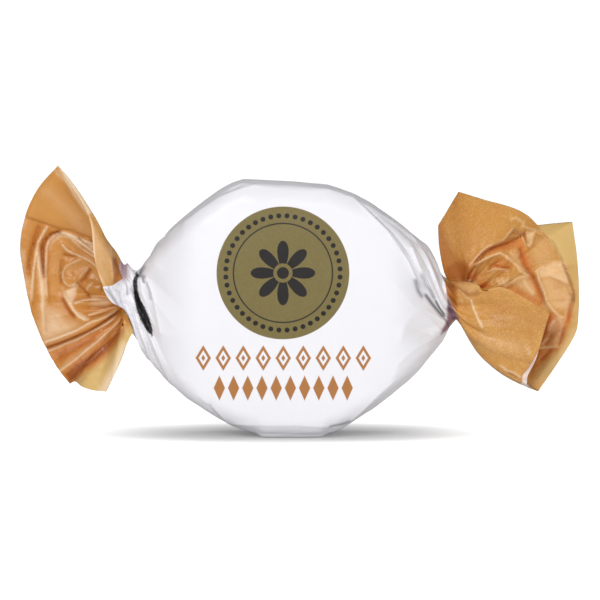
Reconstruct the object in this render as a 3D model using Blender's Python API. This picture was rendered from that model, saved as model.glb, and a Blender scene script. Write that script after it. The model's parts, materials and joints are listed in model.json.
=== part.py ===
"""A polvoron, a pressed nut biscuit, shut in a twist-wrapped paper sweet wrapper.

The sweet stands on its lower edge with its round face to the front, which is -Y. X runs along
the wrapper from the left tail to the right tail, and Z is up. The origin is the middle of the
small flat spot that it rests on. Sizes are in millimetres, and the mesh is made in metres.

The whole pack is one closed skin, lofted over rings that run round the wrapper's long axis.
From left to right it goes from the throat of the left funnel up its inner side, round the rim,
back down its outer side to the neck, over the body, and out through the right funnel the same
way. A fraction "around" of 0 is the top of a ring, 0.25 the back, 0.5 the bottom and 0.75 the
front. The columns of the loft turn with the twist of the paper, so each pleat follows them.
"""

import math

import bpy
import numpy as np

MM = 0.001

# The body: an oval biscuit under tight paper. Its upper and lower outline, as (x, z). What lies
# under 0 is pressed flat, and makes the spot that it rests on.
BODY_TOP = (
    (-28.2, 28.0), (-27.3, 28.2), (-26.5, 27.7), (-26.0, 28.2), (-25.3, 29.3), (-23.3, 32.1),
    (-20.6, 35.0), (-17.9, 37.4), (-15.1, 39.6), (-12.4, 41.5), (-10.2, 42.7), (-8.3, 43.4),
    (-4.9, 43.2), (1.9, 42.8), (5.6, 42.5), (7.3, 42.0), (10.0, 41.0), (13.4, 39.2), (17.5, 36.4),
    (20.9, 33.7), (23.0, 31.8), (24.4, 29.2), (25.6, 26.5), (26.9, 25.7), (27.8, 25.7),
)
BODY_FOOT = (
    (-28.2, 17.7), (-27.1, 17.7), (-26.0, 15.1), (-24.0, 12.1), (-21.2, 8.9), (-18.4, 6.4),
    (-14.5, 3.8), (-11.9, 2.3), (-10.0, 1.3), (-8.4, 0.8), (-6.9, 0.4), (-6.0, 0.2), (-5.2, -0.6),
    (4.9, -0.6), (5.7, 0.2), (7.0, 0.4), (8.6, 1.2), (10.8, 2.6), (13.4, 4.3), (16.0, 6.2),
    (18.9, 8.5), (21.6, 10.9), (23.6, 13.6), (25.7, 16.6), (27.0, 19.2), (27.8, 19.8),
)
OUTLINE_ROUNDING = 0.5
BODY_HALF_DEPTH = 9.4
EDGE_RADIUS = 3.6
FACE_CROWN = 0.45
SIDE_CROWN = 0.5
SHOULDER_AT = 18.0
SHOULDER_BLEND = 1.6

# The necks, where the paper is twisted shut.
LEFT_NECK = {"x": -26.6, "half_depth": 2.8, "reach": 1.6}
RIGHT_NECK = {"x": 26.9, "half_depth": 2.4, "reach": 0.9}

# The twist: how far each side turns in all, in turns, and how far it runs onto the body. It is
# steepest at the neck, where the paper is narrowest.
TWIST_TURNS = 1.0 / 3.0
TWIST_LENGTH = 15.0
PLEAT_LENGTH = 13.0
NECK_PLEATS = 9
NECK_PLEAT_DEPTH = 0.7

# The rims of the two funnels, as (x, z, y, is a corner), in mm, from the top round the back.
LEFT_RIM = (
    (-39.7, 45.7, -2.0, True),
    (-43.3, 41.7, 0.0, False),
    (-45.6, 36.8, 1.4, False),
    (-46.5, 31.2, 2.0, False),
    (-45.5, 25.2, 1.6, False),
    (-44.0, 19.4, 0.4, False),
    (-41.3, 13.3, -1.0, False),
    (-37.8, 8.8, -3.0, True),
    (-36.9, 8.9, -0.6, False),
    (-35.9, 7.9, 1.0, False),
    (-33.9, 7.3, 1.2, False),
    (-31.9, 7.2, -0.4, True),
    (-30.0, 11.4, -1.8, False),
    (-28.6, 16.2, -2.8, False),
    (-28.9, 19.6, -3.7, False),
    (-30.3, 22.6, -4.6, False),
    (-31.9, 25.4, -5.2, False),
    (-33.4, 30.4, -6.0, False),
    (-35.2, 37.6, -5.0, False),
)
RIGHT_RIM = (
    (28.1, 41.2, -2.0, True),
    (32.0, 39.9, -1.4, False),
    (36.9, 38.6, -0.6, False),
    (39.7, 37.3, 0.6, False),
    (41.7, 35.5, 2.6, True),
    (47.7, 36.0, 3.6, True),
    (48.5, 30.4, 3.6, False),
    (48.9, 25.0, 3.2, False),
    (48.85, 20.8, 2.8, False),
    (48.2, 16.9, 2.2, False),
    (45.3, 12.1, 1.7, False),
    (41.8, 7.2, 0.6, True),
    (39.3, 8.3, -2.8, True),
    (40.6, 13.6, -4.6, False),
    (43.0, 20.8, -5.4, True),
    (38.9, 23.5, -6.2, False),
    (35.4, 25.2, -6.0, False),
    (33.5, 25.0, -5.6, False),
    (31.6, 24.2, -5.2, False),
    (29.8, 24.0, -4.8, False),
    (28.2, 24.8, -4.4, False),
    (26.5, 26.0, -4.2, False),
    (25.7, 27.4, -4.0, False),
    (25.2, 30.0, -3.8, False),
    (24.9, 32.6, -3.6, False),
    (24.9, 35.5, -3.4, True),
)
AXIS_TILT = -0.15
BELLY = 2.7
PAPER = 0.45
THROAT_AT = 0.16
FUNNEL_WAVES = 5
FUNNEL_WAVE_DEPTH = 0.8
FUNNEL_PLEAT_DEPTH = 0.55
# Where round each funnel it bulges, and how far at its neck and half way, as parts of its length.
LEFT_BULGES = ((0.0, (0.06, 0.0, 0.15), (0.08, 0.0, 0.0)),)
RIGHT_BULGES = ((0.54, (-0.13, 0.0, -0.17), (-0.27, 0.0, -0.03)),)

# Folds of the paper, in mm: how far the fold stands up, how far its left side stands over its
# right side, its width, the reach of that step, and its line of (x, z) seen from the front.
LEFT_FUNNEL_BACK = (
    (0.6, 0.2, 0.9, 2.5, ((-42.0, 35.4), (-43.5, 32.1), (-44.2, 27.9), (-44.2, 22.8), (-42.3, 16.0))),
    (0.8, 0.6, 1.0, 3.0, ((-42.0, 20.8), (-41.9, 29.9), (-38.9, 34.2), (-36.2, 33.3), (-33.0, 29.8))),
    (0.6, 0.4, 0.9, 2.5, ((-39.3, 31.3), (-35.4, 29.2), (-32.8, 25.3))),
    (0.7, 0.4, 0.9, 2.5, ((-38.9, 25.5), (-37.1, 21.1), (-34.5, 19.7), (-29.4, 20.7))),
    (0.8, 0.0, 0.8, 2.0, ((-27.7, 20.9), (-32.8, 18.5), (-37.9, 16.7), (-43.2, 14.8))),
    (0.8, 0.0, 0.8, 2.0, ((-28.2, 19.4), (-33.7, 16.0), (-38.8, 13.4), (-42.0, 12.2))),
    (-1.0, 0.3, 1.3, 3.0, ((-27.7, 19.2), (-32.8, 14.3), (-38.0, 8.2))),
    (0.8, 0.0, 1.2, 2.0, ((-27.7, 18.4), (-30.8, 12.6), (-33.0, 6.8))),
)
LEFT_FUNNEL_FRONT = ((0.5, 0.3, 0.8, 2.0, ((-31.4, 36.0), (-30.8, 31.0), (-30.6, 24.5))),)
RIGHT_FUNNEL_BACK = (
    (0.5, 0.9, 0.8, 3.0, ((28.2, 26.0), (31.5, 30.4), (34.7, 33.0), (36.0, 35.0), (42.8, 33.0))),
    (0.8, 0.0, 0.8, 2.0, ((29.4, 26.2), (33.5, 28.7), (35.4, 30.1), (40.3, 26.9), (44.7, 19.4))),
    (0.7, 0.3, 0.8, 2.0, ((41.7, 28.4), (42.8, 24.5), (44.0, 21.4), (45.7, 18.7))),
    (0.3, -0.7, 0.8, 2.5, ((43.0, 33.6), (45.4, 29.6), (47.1, 24.5), (47.4, 19.4), (45.2, 14.1))),
)
RIGHT_FUNNEL_FRONT = (
    (0.4, 0.0, 0.8, 2.0, ((29.6, 26.0), (32.1, 21.1), (33.6, 17.6))),
    (0.4, 0.0, 0.8, 2.0, ((32.5, 16.0), (35.2, 12.2), (38.8, 9.2))),
)
BODY_FRONT = (
    (0.3, -0.4, 0.8, 3.5, ((7.0, 42.6), (14.2, 36.4), (18.6, 28.6), (22.0, 23.2), (27.5, 18.6))),
    (-0.3, 0.0, 0.7, 2.0, ((9.7, 41.2), (16.6, 35.0), (20.8, 28.2), (23.0, 24.1), (27.5, 19.0))),
    (0.3, 0.1, 1.1, 3.0, ((27.0, 19.4), (22.4, 17.7), (19.0, 16.0), (17.5, 12.4))),
    (0.3, 0.1, 1.1, 3.0, ((26.4, 17.0), (21.6, 14.3), (18.2, 12.2), (16.8, 7.3))),
    (0.3, 0.3, 0.9, 3.0, ((-28.5, 25.1), (-26.2, 18.5), (-22.6, 11.6), (-19.2, 7.1), (-12.6, 2.0))),
    (0.3, 0.2, 0.8, 2.5, ((-27.5, 28.0), (-24.8, 24.5), (-22.8, 19.5), (-21.6, 14.8))),
    (0.3, 0.1, 0.8, 2.0, ((-19.2, 34.7), (-15.8, 38.6), (-9.0, 42.2), (-5.0, 43.2))),
)

# How finely the skin is cut.
AROUND_STEPS = 72
BODY_RINGS = 38
FUNNEL_RINGS = 11
NECK_DENSITY = 3.0


def smooth_step(value, low, high):
    """0 below low, 1 above high, and a smooth rise between them."""
    share = np.clip((value - low) / (high - low), 0.0, 1.0)
    return share * share * (3.0 - 2.0 * share)


def quarter_section(share, half_depth, half_height, radius):
    """Point and normal on a quarter of a rounded rectangle, from its top to its back."""
    flat_top = half_depth - radius
    flat_back = half_height - radius
    corner = math.pi / 2.0 * radius
    along = share * (flat_top + corner + flat_back)
    angle = np.clip((along - flat_top) / radius, 0.0, math.pi / 2.0)
    normal = np.stack([np.sin(angle), np.cos(angle)], axis=-1)
    depth = np.minimum(along, flat_top) + radius * np.sin(angle)
    height = flat_back + radius * np.cos(angle)
    height = height - np.maximum(along - flat_top - corner, 0.0)
    on_top = np.clip(1.0 - (along / flat_top) ** 2, 0.0, 1.0) * SIDE_CROWN
    on_back = np.clip(1.0 - (height / flat_back) ** 2, 0.0, 1.0) * FACE_CROWN
    on_back = np.where(angle >= math.pi / 2.0, on_back, 0.0)
    crown = (on_top * (along < flat_top) + on_back) * smooth_step(half_height, 4.0, 14.0)
    return np.stack([depth, height], axis=-1) + normal * crown[..., None], normal


def section(around, half_depth, half_height, radius):
    """Points (y, z) and normals round a rounded rectangle, at fractions of the way round."""
    turn = (around % 1.0) * 4.0
    quarter = np.minimum(turn.astype(int), 3)
    share = turn - quarter
    share = np.where(quarter % 2 == 0, share, 1.0 - share)
    point, normal = quarter_section(share, half_depth, half_height, radius)
    signs = np.array([(1, 1), (1, -1), (-1, -1), (-1, 1)])[quarter]
    return point * signs, normal * signs


def triangle_wave(turns):
    """A wave between -1 and 1 with sharp crests, once a turn."""
    return 4.0 * np.abs((turns % 1.0) - 0.5) - 1.0


def pleats(column, count):
    """Uneven pleats round a ring, between about -1 and 1. They close on themselves."""
    full = 2.0 * math.pi * column
    uneven = 0.028 * np.sin(2.0 * full + 0.7) + 0.017 * np.sin(5.0 * full + 2.1)
    height = 0.72 + 0.28 * np.sin(3.0 * full + 1.3)
    return triangle_wave(count * (column + uneven)) * height


def smooth_line(points, count):
    """A rounded line through the points, cut into count pieces."""
    table = np.array(points)
    padded = np.concatenate([[2 * table[0] - table[1]], table, [2 * table[-1] - table[-2]]])
    where = np.linspace(0.0, len(table) - 1.0 - 1e-9, count + 1)
    index = where.astype(int)
    local = (where - index)[:, None]
    before, first, second, after = (padded[index + step] for step in range(4))
    return 0.5 * (
        2.0 * first
        + (second - before) * local
        + (2.0 * before - 5.0 * first + 4.0 * second - after) * local**2
        + (3.0 * first - before - 3.0 * second + after) * local**3
    )


def relief(x, z, folds):
    """How far the folds lift the paper at each (x, z)."""
    total = np.zeros(np.shape(x))
    for ridge, step, width, reach, points in folds:
        line = smooth_line(points, 16)
        run = np.diff(line, axis=0)
        length = np.hypot(run[:, 0], run[:, 1])
        start = np.concatenate([[0.0], np.cumsum(length)])
        best = np.full(np.shape(x), 1e9)
        side = np.zeros(np.shape(x))
        along = np.zeros(np.shape(x))
        for index, (dx, dz) in enumerate(run):
            rel_x = x - line[index, 0]
            rel_z = z - line[index, 1]
            share = np.clip((rel_x * dx + rel_z * dz) / length[index] ** 2, 0.0, 1.0)
            away = np.hypot(rel_x - share * dx, rel_z - share * dz)
            nearer = away < best
            best = np.where(nearer, away, best)
            side = np.where(nearer, np.sign(dx * rel_z - dz * rel_x), side)
            along = np.where(nearer, start[index] + share * length[index], along)
        along = along / start[-1]
        fade = smooth_step(along, 0.0, 0.12) * (1.0 - smooth_step(along, 0.8, 1.0))
        total = total + ridge * fade * np.exp(-((best / width) ** 2))
        side = np.tanh(side * best / (0.5 * width))
        total = total + step * fade * side * np.exp(-((best / reach) ** 2))
    return total


def rounded_outline(points):
    """Heights of an outline every 0.05 mm along x, with its corners a little rounded."""
    places, heights = np.array(points).T
    fine = np.linspace(-29.0, 29.0, 1161)
    steps = np.arange(-30, 31) * 0.05
    weights = np.exp(-((steps / OUTLINE_ROUNDING) ** 2))
    line = np.pad(np.interp(fine, places, heights), 30, mode="edge")
    return fine, np.convolve(line, weights / weights.sum(), mode="valid")


TOP_LINE = rounded_outline(BODY_TOP)
FOOT_LINE = rounded_outline(BODY_FOOT)


def body_sizes(x):
    """Centre height, half height, half depth and edge radius of the body's section at x."""
    neck = LEFT_NECK if x < 0.0 else RIGHT_NECK
    top = np.interp(x, *TOP_LINE)
    foot = np.interp(x, *FOOT_LINE)
    half_height = (top - foot) / 2.0
    half_height = half_height - SIDE_CROWN * smooth_step(half_height, 4.0, 14.0)
    slope = (BODY_HALF_DEPTH - neck["half_depth"]) / (abs(neck["x"]) - SHOULDER_AT)
    past = SHOULDER_BLEND * math.log1p(math.exp((abs(x) - SHOULDER_AT) / SHOULDER_BLEND))
    half_depth = max(BODY_HALF_DEPTH - slope * past, neck["half_depth"])
    radius = min(EDGE_RADIUS, 0.94 * half_depth, 0.94 * half_height)
    return (top + foot) / 2.0, half_height, half_depth, radius


def twist_table():
    """Places along x and how far the columns have turned there, in turns, 0 at x = 0."""
    places = np.linspace(LEFT_NECK["x"] - LEFT_NECK["reach"], RIGHT_NECK["x"] + RIGHT_NECK["reach"], 801)
    girth = np.array([sum(body_sizes(x)[1:3]) for x in places])
    from_neck = np.minimum(places - LEFT_NECK["x"], RIGHT_NECK["x"] - places)
    slope = (1.0 - smooth_step(from_neck, -2.0, TWIST_LENGTH)) / girth
    turned = np.concatenate([[0.0], np.cumsum(0.5 * (slope[1:] + slope[:-1]) * np.diff(places))])
    turned = turned - np.interp(0.0, places, turned)
    return places, np.where(turned < 0.0, turned / -turned[0], turned / turned[-1]) * TWIST_TURNS


TWIST_PLACES, TWIST_TURNED = twist_table()


def twist(x):
    """How far the columns have turned at x, in turns. They turn near the two necks."""
    return float(np.interp(x, TWIST_PLACES, TWIST_TURNED))


def body_ring(x, column):
    """One ring of the body or of a neck, at x, with its pleats and long folds."""
    centre, half_height, half_depth, radius = body_sizes(x)
    point, normal = section(column - twist(x), half_depth, half_height, radius)
    from_neck = max(min(x - LEFT_NECK["x"], RIGHT_NECK["x"] - x), 0.0)
    depth = NECK_PLEAT_DEPTH * (1.0 - smooth_step(from_neck, 0.0, PLEAT_LENGTH)) ** 1.6
    lift = depth * pleats(column, NECK_PLEATS)
    height = centre + point[:, 1]
    place = np.full_like(height, x)
    on_body = smooth_step(half_height, 4.0, 12.0)
    front = smooth_step(-normal[:, 0], 0.25, 0.85) * on_body
    back = smooth_step(normal[:, 0], 0.25, 0.85) * on_body
    lift = lift + front * relief(place, height, BODY_FRONT)
    lift = lift + back * relief(-place, height, BODY_FRONT)
    point = point + normal * lift[:, None]
    height = np.maximum(centre + point[:, 1], 0.0)
    return np.stack([place, point[:, 0], height], axis=-1)


def body_stations(first, last, count):
    """Places along x for the body's rings, close together by the necks."""
    fine = np.linspace(first, last, 2001)
    density = 1.0 + NECK_DENSITY * np.exp(-(((fine - first) / 6.0) ** 2))
    density = density + NECK_DENSITY * np.exp(-(((last - fine) / 6.0) ** 2))
    total = np.concatenate([[0.0], np.cumsum(0.5 * (density[1:] + density[:-1]))])
    return np.interp(np.arange(1, count + 1) / (count + 1) * total[-1], total, fine)


def spline(points, corners, shares):
    """Points on a closed curve through the given ones, at fractions of its chord length."""
    ahead = np.roll(points, -1, axis=0) - points
    behind = np.roll(ahead, 1, axis=0)
    smooth = 0.5 * (ahead + behind)
    leaving = np.where(corners[:, None], ahead, smooth)
    arriving = np.where(corners[:, None], behind, smooth)
    length = np.linalg.norm(ahead, axis=1)
    start = np.concatenate([[0.0], np.cumsum(length)[:-1]]) / length.sum()
    index = np.searchsorted(start, shares, side="right") - 1
    local = ((shares - start[index]) * length.sum() / length[index])[:, None]
    after = (index + 1) % len(points)
    square = local * local
    cube = square * local
    return (
        (2.0 * cube - 3.0 * square + 1.0) * points[index]
        + (cube - 2.0 * square + local) * leaving[index]
        + (3.0 * square - 2.0 * cube) * points[after]
        + (cube - square) * arriving[after]
    )


def rim_curve(rim, around):
    """The rim at each fraction round, with its corners exactly on the nearest of them."""
    points = np.array([(x, y, z) for x, z, y, _ in rim])
    corners = np.array([corner for _, _, _, corner in rim])
    length = np.linalg.norm(np.roll(points, -1, axis=0) - points, axis=1)
    start = np.concatenate([[0.0], np.cumsum(length)[:-1]]) / length.sum()
    steps = len(around)
    snapped = []
    for share in start[corners]:
        nearest = round(share * steps)
        snapped.append(max(nearest, snapped[-1] + 1) if snapped else nearest)
    knots = np.array(snapped + [snapped[0] + steps]) / steps
    values = np.append(start[corners], start[corners][0] + 1.0)
    shares = np.interp(around % 1.0, knots, values)
    return spline(points, corners, np.clip(shares, 0.0, 1.0 - 1e-9))


def ring_normals(rings):
    """Outward unit normals of a grid of rings, from the differences between neighbours."""
    along = np.gradient(rings, axis=0)
    about = np.roll(rings, -1, axis=1) - np.roll(rings, 1, axis=1)
    normal = np.cross(along, about)
    return normal / np.linalg.norm(normal, axis=2, keepdims=True)


def funnel(neck, rim, bulges, folds_back, folds_front, side, column):
    """Rings of a funnel's outer and inner skin, both from the neck to the rim."""
    x_end = neck["x"] + side * neck["reach"]
    around = column - twist(x_end)
    start = body_ring(x_end, column)
    edge = rim_curve(rim, around)
    reach = np.linalg.norm(edge - start, axis=1)[:, None]
    axis = np.array([side, AXIS_TILT, 0.0]) / math.hypot(1.0, AXIS_TILT)
    backward = np.cos(2.0 * math.pi * (around - 0.25))[:, None]
    belly = BELLY * backward * np.array([0.0, 1.0, 0.0])
    first = start + axis * reach * 0.28
    second = start + (edge - start) * 0.62 + belly * np.minimum(reach / 15.0, 1.0)
    for place, near_neck, half_way in bulges:
        most = smooth_step(np.cos(2.0 * math.pi * (around - place)), 0.3, 1.0)[:, None] * reach
        first = first + most * np.array(near_neck)
        second = second + most * np.array(half_way)
    outer = []
    for step in range(FUNNEL_RINGS + 1):
        share = step / FUNNEL_RINGS
        rest = 1.0 - share
        outer.append(
            rest**3 * start
            + 3.0 * rest**2 * share * first
            + 3.0 * rest * share**2 * second
            + share**3 * edge
        )
    outer = np.array(outer)
    share = np.linspace(0.0, 1.0, FUNNEL_RINGS + 1)[:, None]
    grow = smooth_step(share, 0.1, 0.35)
    width = np.minimum(reach.T / 12.0, 1.0)
    fine = pleats(column, NECK_PLEATS)[None, :] * FUNNEL_PLEAT_DEPTH * grow * (1.15 - share)
    broad = pleats(column + 0.05, FUNNEL_WAVES)[None, :]
    broad = broad * FUNNEL_WAVE_DEPTH * share * (1.3 - share)
    normal = ring_normals(outer) * side
    outer = outer + normal * ((fine + broad) * width)[..., None]
    on_back = smooth_step(backward.T, -0.1, 0.35) * grow
    on_front = smooth_step(-backward.T, -0.1, 0.35) * grow
    lift = on_back * relief(outer[..., 0], outer[..., 2], folds_back)
    lift = lift + on_front * relief(outer[..., 0], outer[..., 2], folds_front)
    outer[..., 1] -= lift * width
    normal = ring_normals(outer) * side
    return outer, outer - normal * PAPER


def throat(rings):
    """The rings of an inner skin from the rim down to the throat, and its closing point."""
    first = int(round(THROAT_AT * FUNNEL_RINGS)) + 1
    kept = rings[first:][::-1]
    return kept, kept[-1].mean(axis=0)


def skin_rings():
    """Every ring of the skin from the left throat to the right throat, and both end points."""
    column = np.arange(AROUND_STEPS) / AROUND_STEPS
    left_outer, left_inner = funnel(
        LEFT_NECK, LEFT_RIM, LEFT_BULGES, LEFT_FUNNEL_BACK, LEFT_FUNNEL_FRONT, -1.0, column
    )
    right_outer, right_inner = funnel(
        RIGHT_NECK, RIGHT_RIM, RIGHT_BULGES, RIGHT_FUNNEL_BACK, RIGHT_FUNNEL_FRONT, 1.0, column
    )
    left_end = LEFT_NECK["x"] - LEFT_NECK["reach"]
    right_end = RIGHT_NECK["x"] + RIGHT_NECK["reach"]
    body = np.array([body_ring(x, column) for x in body_stations(left_end, right_end, BODY_RINGS)])
    left_kept, left_point = throat(left_inner)
    right_kept, right_point = throat(right_inner)
    rings = np.concatenate([left_kept[::-1], left_outer[::-1], body, right_outer, right_kept])
    return rings, left_point, right_point, len(left_kept) + len(left_outer), len(body)


def make_material(name, colour, roughness, metallic=0.0):
    """A Principled material of one colour."""
    material = bpy.data.materials.new(name)
    material.use_nodes = True
    material.diffuse_color = (*colour, 1.0)
    shader = material.node_tree.nodes["Principled BSDF"]
    shader.inputs["Base Color"].default_value = (*colour, 1.0)
    shader.inputs["Roughness"].default_value = roughness
    shader.inputs["Metallic"].default_value = metallic
    return material


def build_wrapped_polvoron(collection):
    """The whole pack as one closed skin, white over the body and gold in the funnels."""
    rings, left_point, right_point, body_from, body_count = skin_rings()
    count, steps = rings.shape[:2]
    points = np.concatenate([rings.reshape(-1, 3), [left_point, right_point]]) * MM
    faces = []
    slots = []
    for ring in range(count - 1):
        in_body = body_from - 2 <= ring < body_from + body_count
        for step in range(steps):
            after = (step + 1) % steps
            low = ring * steps
            high = low + steps
            faces.append((low + step, high + step, high + after))
            faces.append((low + step, high + after, low + after))
            slots += [0, 0] if in_body else [1, 1]
    left_tip = count * steps
    right_tip = left_tip + 1
    last = (count - 1) * steps
    for step in range(steps):
        after = (step + 1) % steps
        faces.append((left_tip, step, after))
        faces.append((right_tip, last + after, last + step))
        slots += [1, 1]
    mesh = bpy.data.meshes.new("wrapped_polvoron")
    mesh.from_pydata(points.tolist(), [], faces)
    mesh.materials.append(make_material("white_paper", (0.86, 0.86, 0.88), 0.5))
    mesh.materials.append(make_material("gold_paper", (0.62, 0.33, 0.11), 0.4))
    mesh.polygons.foreach_set("material_index", slots)
    mesh.shade_smooth()
    collection.objects.link(bpy.data.objects.new("wrapped_polvoron", mesh))


def main():
    for obj in list(bpy.data.objects):
        bpy.data.objects.remove(obj)
    collection = bpy.data.collections.new("polvoron")
    bpy.context.scene.collection.children.link(collection)
    build_wrapped_polvoron(collection)


main()
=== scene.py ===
"""The looks of the wrapped polvoron: its folded and crumpled paper, the print, the gold tails,
the floor, the soft studio light and the camera.

Shapes are worked out in millimetres with the same sections, twist and rims as the solid, and the
meshes are made in metres. A fraction "around" of 0 is the top of a ring, 0.25 the back, 0.5 the
bottom and 0.75 the front.
"""

import json
import math

import bpy
import numpy as np
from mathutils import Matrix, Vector, noise

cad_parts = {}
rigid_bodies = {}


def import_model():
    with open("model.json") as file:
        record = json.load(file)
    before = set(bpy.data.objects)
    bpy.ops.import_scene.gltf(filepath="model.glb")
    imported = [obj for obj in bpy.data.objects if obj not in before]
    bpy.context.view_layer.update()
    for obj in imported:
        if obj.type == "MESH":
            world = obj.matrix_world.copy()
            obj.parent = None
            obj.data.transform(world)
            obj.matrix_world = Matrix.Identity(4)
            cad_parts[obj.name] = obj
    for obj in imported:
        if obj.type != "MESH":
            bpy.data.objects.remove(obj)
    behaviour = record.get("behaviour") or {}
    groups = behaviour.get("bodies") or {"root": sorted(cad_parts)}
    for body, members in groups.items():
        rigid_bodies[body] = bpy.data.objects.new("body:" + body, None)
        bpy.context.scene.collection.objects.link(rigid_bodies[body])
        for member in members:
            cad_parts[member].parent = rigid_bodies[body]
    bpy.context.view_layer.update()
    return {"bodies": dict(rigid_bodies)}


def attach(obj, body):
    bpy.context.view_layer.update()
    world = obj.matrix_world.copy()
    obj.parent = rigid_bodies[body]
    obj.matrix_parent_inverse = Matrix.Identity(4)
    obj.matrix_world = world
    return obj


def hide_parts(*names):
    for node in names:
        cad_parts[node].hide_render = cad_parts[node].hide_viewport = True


MM = 0.001

# The body's outline and necks, in mm.
BODY_TOP = (
    (-28.2, 28), (-27.3, 28.2), (-26.4, 27.1), (-25.9, 28), (-25.3, 29.2), (-23.3, 32.1), (-20.6, 35),
    (-17.9, 37.4), (-15.1, 39.6), (-12.4, 41.5), (-10.2, 42.7), (-8.3, 43.4), (-4.9, 43.2), (1.9, 42.8),
    (5.6, 42.5), (7.3, 42), (10, 41), (13.4, 39.2), (17.5, 36.4), (20.9, 33.7), (23, 31.8), (24.4, 29.2),
    (25.6, 26.5), (26.9, 25.7), (27.8, 25.7),
)
BODY_FOOT = (
    (-28.2, 17.7), (-27.1, 17.7), (-26, 15.1), (-24, 12.1), (-21.2, 8.9), (-18.4, 6.4), (-14.5, 3.8),
    (-11.9, 2.3), (-10, 1.3), (-8.4, 0.8), (-6.9, 0.4), (-6, 0.2), (-5.2, -0.6), (4.9, -0.6), (5.7, 0.2),
    (7, 0.4), (8.6, 1.2), (10.8, 2.6), (13.4, 4.3), (16, 6.2), (18.9, 8.5), (21.6, 10.9), (23.6, 13.6),
    (25.7, 16.6), (27, 19.2), (27.8, 19.8),
)
OUTLINE_ROUNDING = 0.5
OUTLINE_STEP = 0.05
OUTLINE_END = 29.0
# The body's section in mm: its depth, its rounded edges, and the crowns of its flat sides, which
# grow while the half height passes from the first value of CROWN_RISE to the second.
BODY_HALF_DEPTH = 9.4
EDGE_RADIUS = 3.6
MOST_ROUNDED = 0.94
FACE_CROWN = 0.45
SIDE_CROWN = 0.5
CROWN_RISE = (4.0, 14.0)
SHOULDER_AT = 18.0
SHOULDER_BLEND = 1.6
# The twisted and pleated necks, in mm and in turns. The twist starts a little outside each neck.
LEFT_NECK = {"x": -26.6, "half_depth": 2.8, "reach": 1.6}
RIGHT_NECK = {"x": 26.9, "half_depth": 2.4, "reach": 0.9}
TWIST_TURNS = 1.0 / 3.0
TWIST_LENGTH = 15.0
TWIST_START = -2.0
TWIST_SAMPLES = 801
PLEAT_LENGTH = 13.0
NECK_PLEATS = 9
NECK_PLEAT_DEPTH = 0.6
FINE_PLEATS = 23
FINE_PLEAT_DEPTH = 0.12
FINE_PLEAT_LENGTH = 5.0
# A raised pleat on top of the left neck: its height, its place, how far it reaches along the body,
# and how far along the funnel.
NECK_BUMP = 0.6
NECK_BUMP_AT = -28.3
NECK_BUMP_REACH = 0.6
NECK_BUMP_FADE = 0.8
# The round middle of the faces, where the paper is tight: its height above the floor, how much
# wider than high it is, the distances between which crumples set in, and how strong they are.
FACE_MIDDLE = 21.6
FACE_OVAL = 1.15
FACE_EDGE = (12.0, 24.0)
FACE_CRUMPLE = 0.12
BODY_CRUMPLE = 0.35
BODY_CRUMPLE_SIZE = 6.5
BODY_CRUMPLE_STRETCH = (0.8, 0.7, 1.0)

# The rims of the two funnels, as (x, z, y, is a corner), in mm, from the top round the back.
LEFT_RIM = (
    (-39.7, 45.7, -2, True), (-43.3, 41.7, 0, False), (-45.6, 36.8, 1.4, False), (-46.5, 31.2, 2, False),
    (-45.5, 25.2, 1.6, False), (-44, 19.4, 0.4, False), (-41.3, 13.3, -1, False), (-37.8, 8.8, -3, True),
    (-36.9, 8.9, -0.6, False), (-35.9, 7.9, 1, False), (-33.9, 7.3, 1.2, False), (-31.8, 7.2, -0.4, True),
    (-30.1, 10.6, -1.4, False), (-28.3, 15.2, -2.2, False), (-27, 17.7, -2.8, True),
    (-27.8, 20, -3.5, False), (-28.7, 21.6, -4, False), (-30.7, 22.8, -4.6, False),
    (-31.9, 25, -5.2, False), (-33.4, 30.4, -6, False), (-34.5, 37.6, -5, False),
)
RIGHT_RIM = (
    (28.1, 41.2, 0.2, True), (32, 40, -0.2, False), (36.9, 38.65, -0.6, False), (39.7, 37.3, 0.6, False),
    (41.7, 35.5, 2.6, True), (47.7, 36, 3.6, True), (48.5, 30.4, 3.6, False), (48.9, 25, 3.2, False),
    (48.85, 20.8, 2.8, False), (48.2, 16.9, 2.2, False), (45.3, 12.1, 1.7, False), (41.8, 7.2, 0.6, True),
    (39.6, 8.5, -2.8, True), (39.75, 10.2, -3.3, False), (40.6, 12, -3.9, False), (41.3, 14, -4.6, False),
    (43.2, 20.8, -5.4, True), (38.9, 23.5, -6.2, False), (35.4, 25.2, -6, False), (33.5, 25, -5.6, False),
    (32, 24.6, -5.3, False), (31.3, 25.5, -5, False), (29.9, 26.1, -4.5, False), (28.2, 26.2, -3.7, False),
    (26.5, 26.2, -2.6, False), (25.7, 27.4, -1.6, False), (25.1, 30, -0.7, False),
    (24.75, 32.6, -0.2, False), (24.65, 35.5, 0, True),
)
# How far the funnels' axes lean to the front, how far their backs swell, and how thick the paper
# is, in mm.
AXIS_TILT = -0.15
BELLY = 2.7
PAPER = 0.12
# The part of the inner side that the throat's cap closes, and where the cap looks on the right.
THROAT_AT = 0.075
THROAT_FACING = np.array([0.6, -0.7, 0.39])
# Waves and pleats round each funnel: how many waves, the depths of both in mm, and the length in
# mm from which a funnel has its full relief.
FUNNEL_WAVES = 5
FUNNEL_WAVE_DEPTH = 0.8
FUNNEL_PLEAT_DEPTH = 0.5
FUNNEL_FULL_WIDTH = 12.0
# The heights between which the left tail's smooth top flap sets in, and the right tail's.
LEFT_FLAP = (33.0, 36.0)
RIGHT_FLAP = (23.0, 27.0)
# The rough middle of the right tail: its place, and the distances between which it ends.
ROUGH_MIDDLE = (39.0, 26.0)
ROUGH_EDGE = (7.0, 10.0)
# Coarse and fine crumples of the tails: their height and size in mm, and a seed.
CRUMPLES = ((0.45, 3.4, 2.0), (0.12, 1.5, 4.0))
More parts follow.
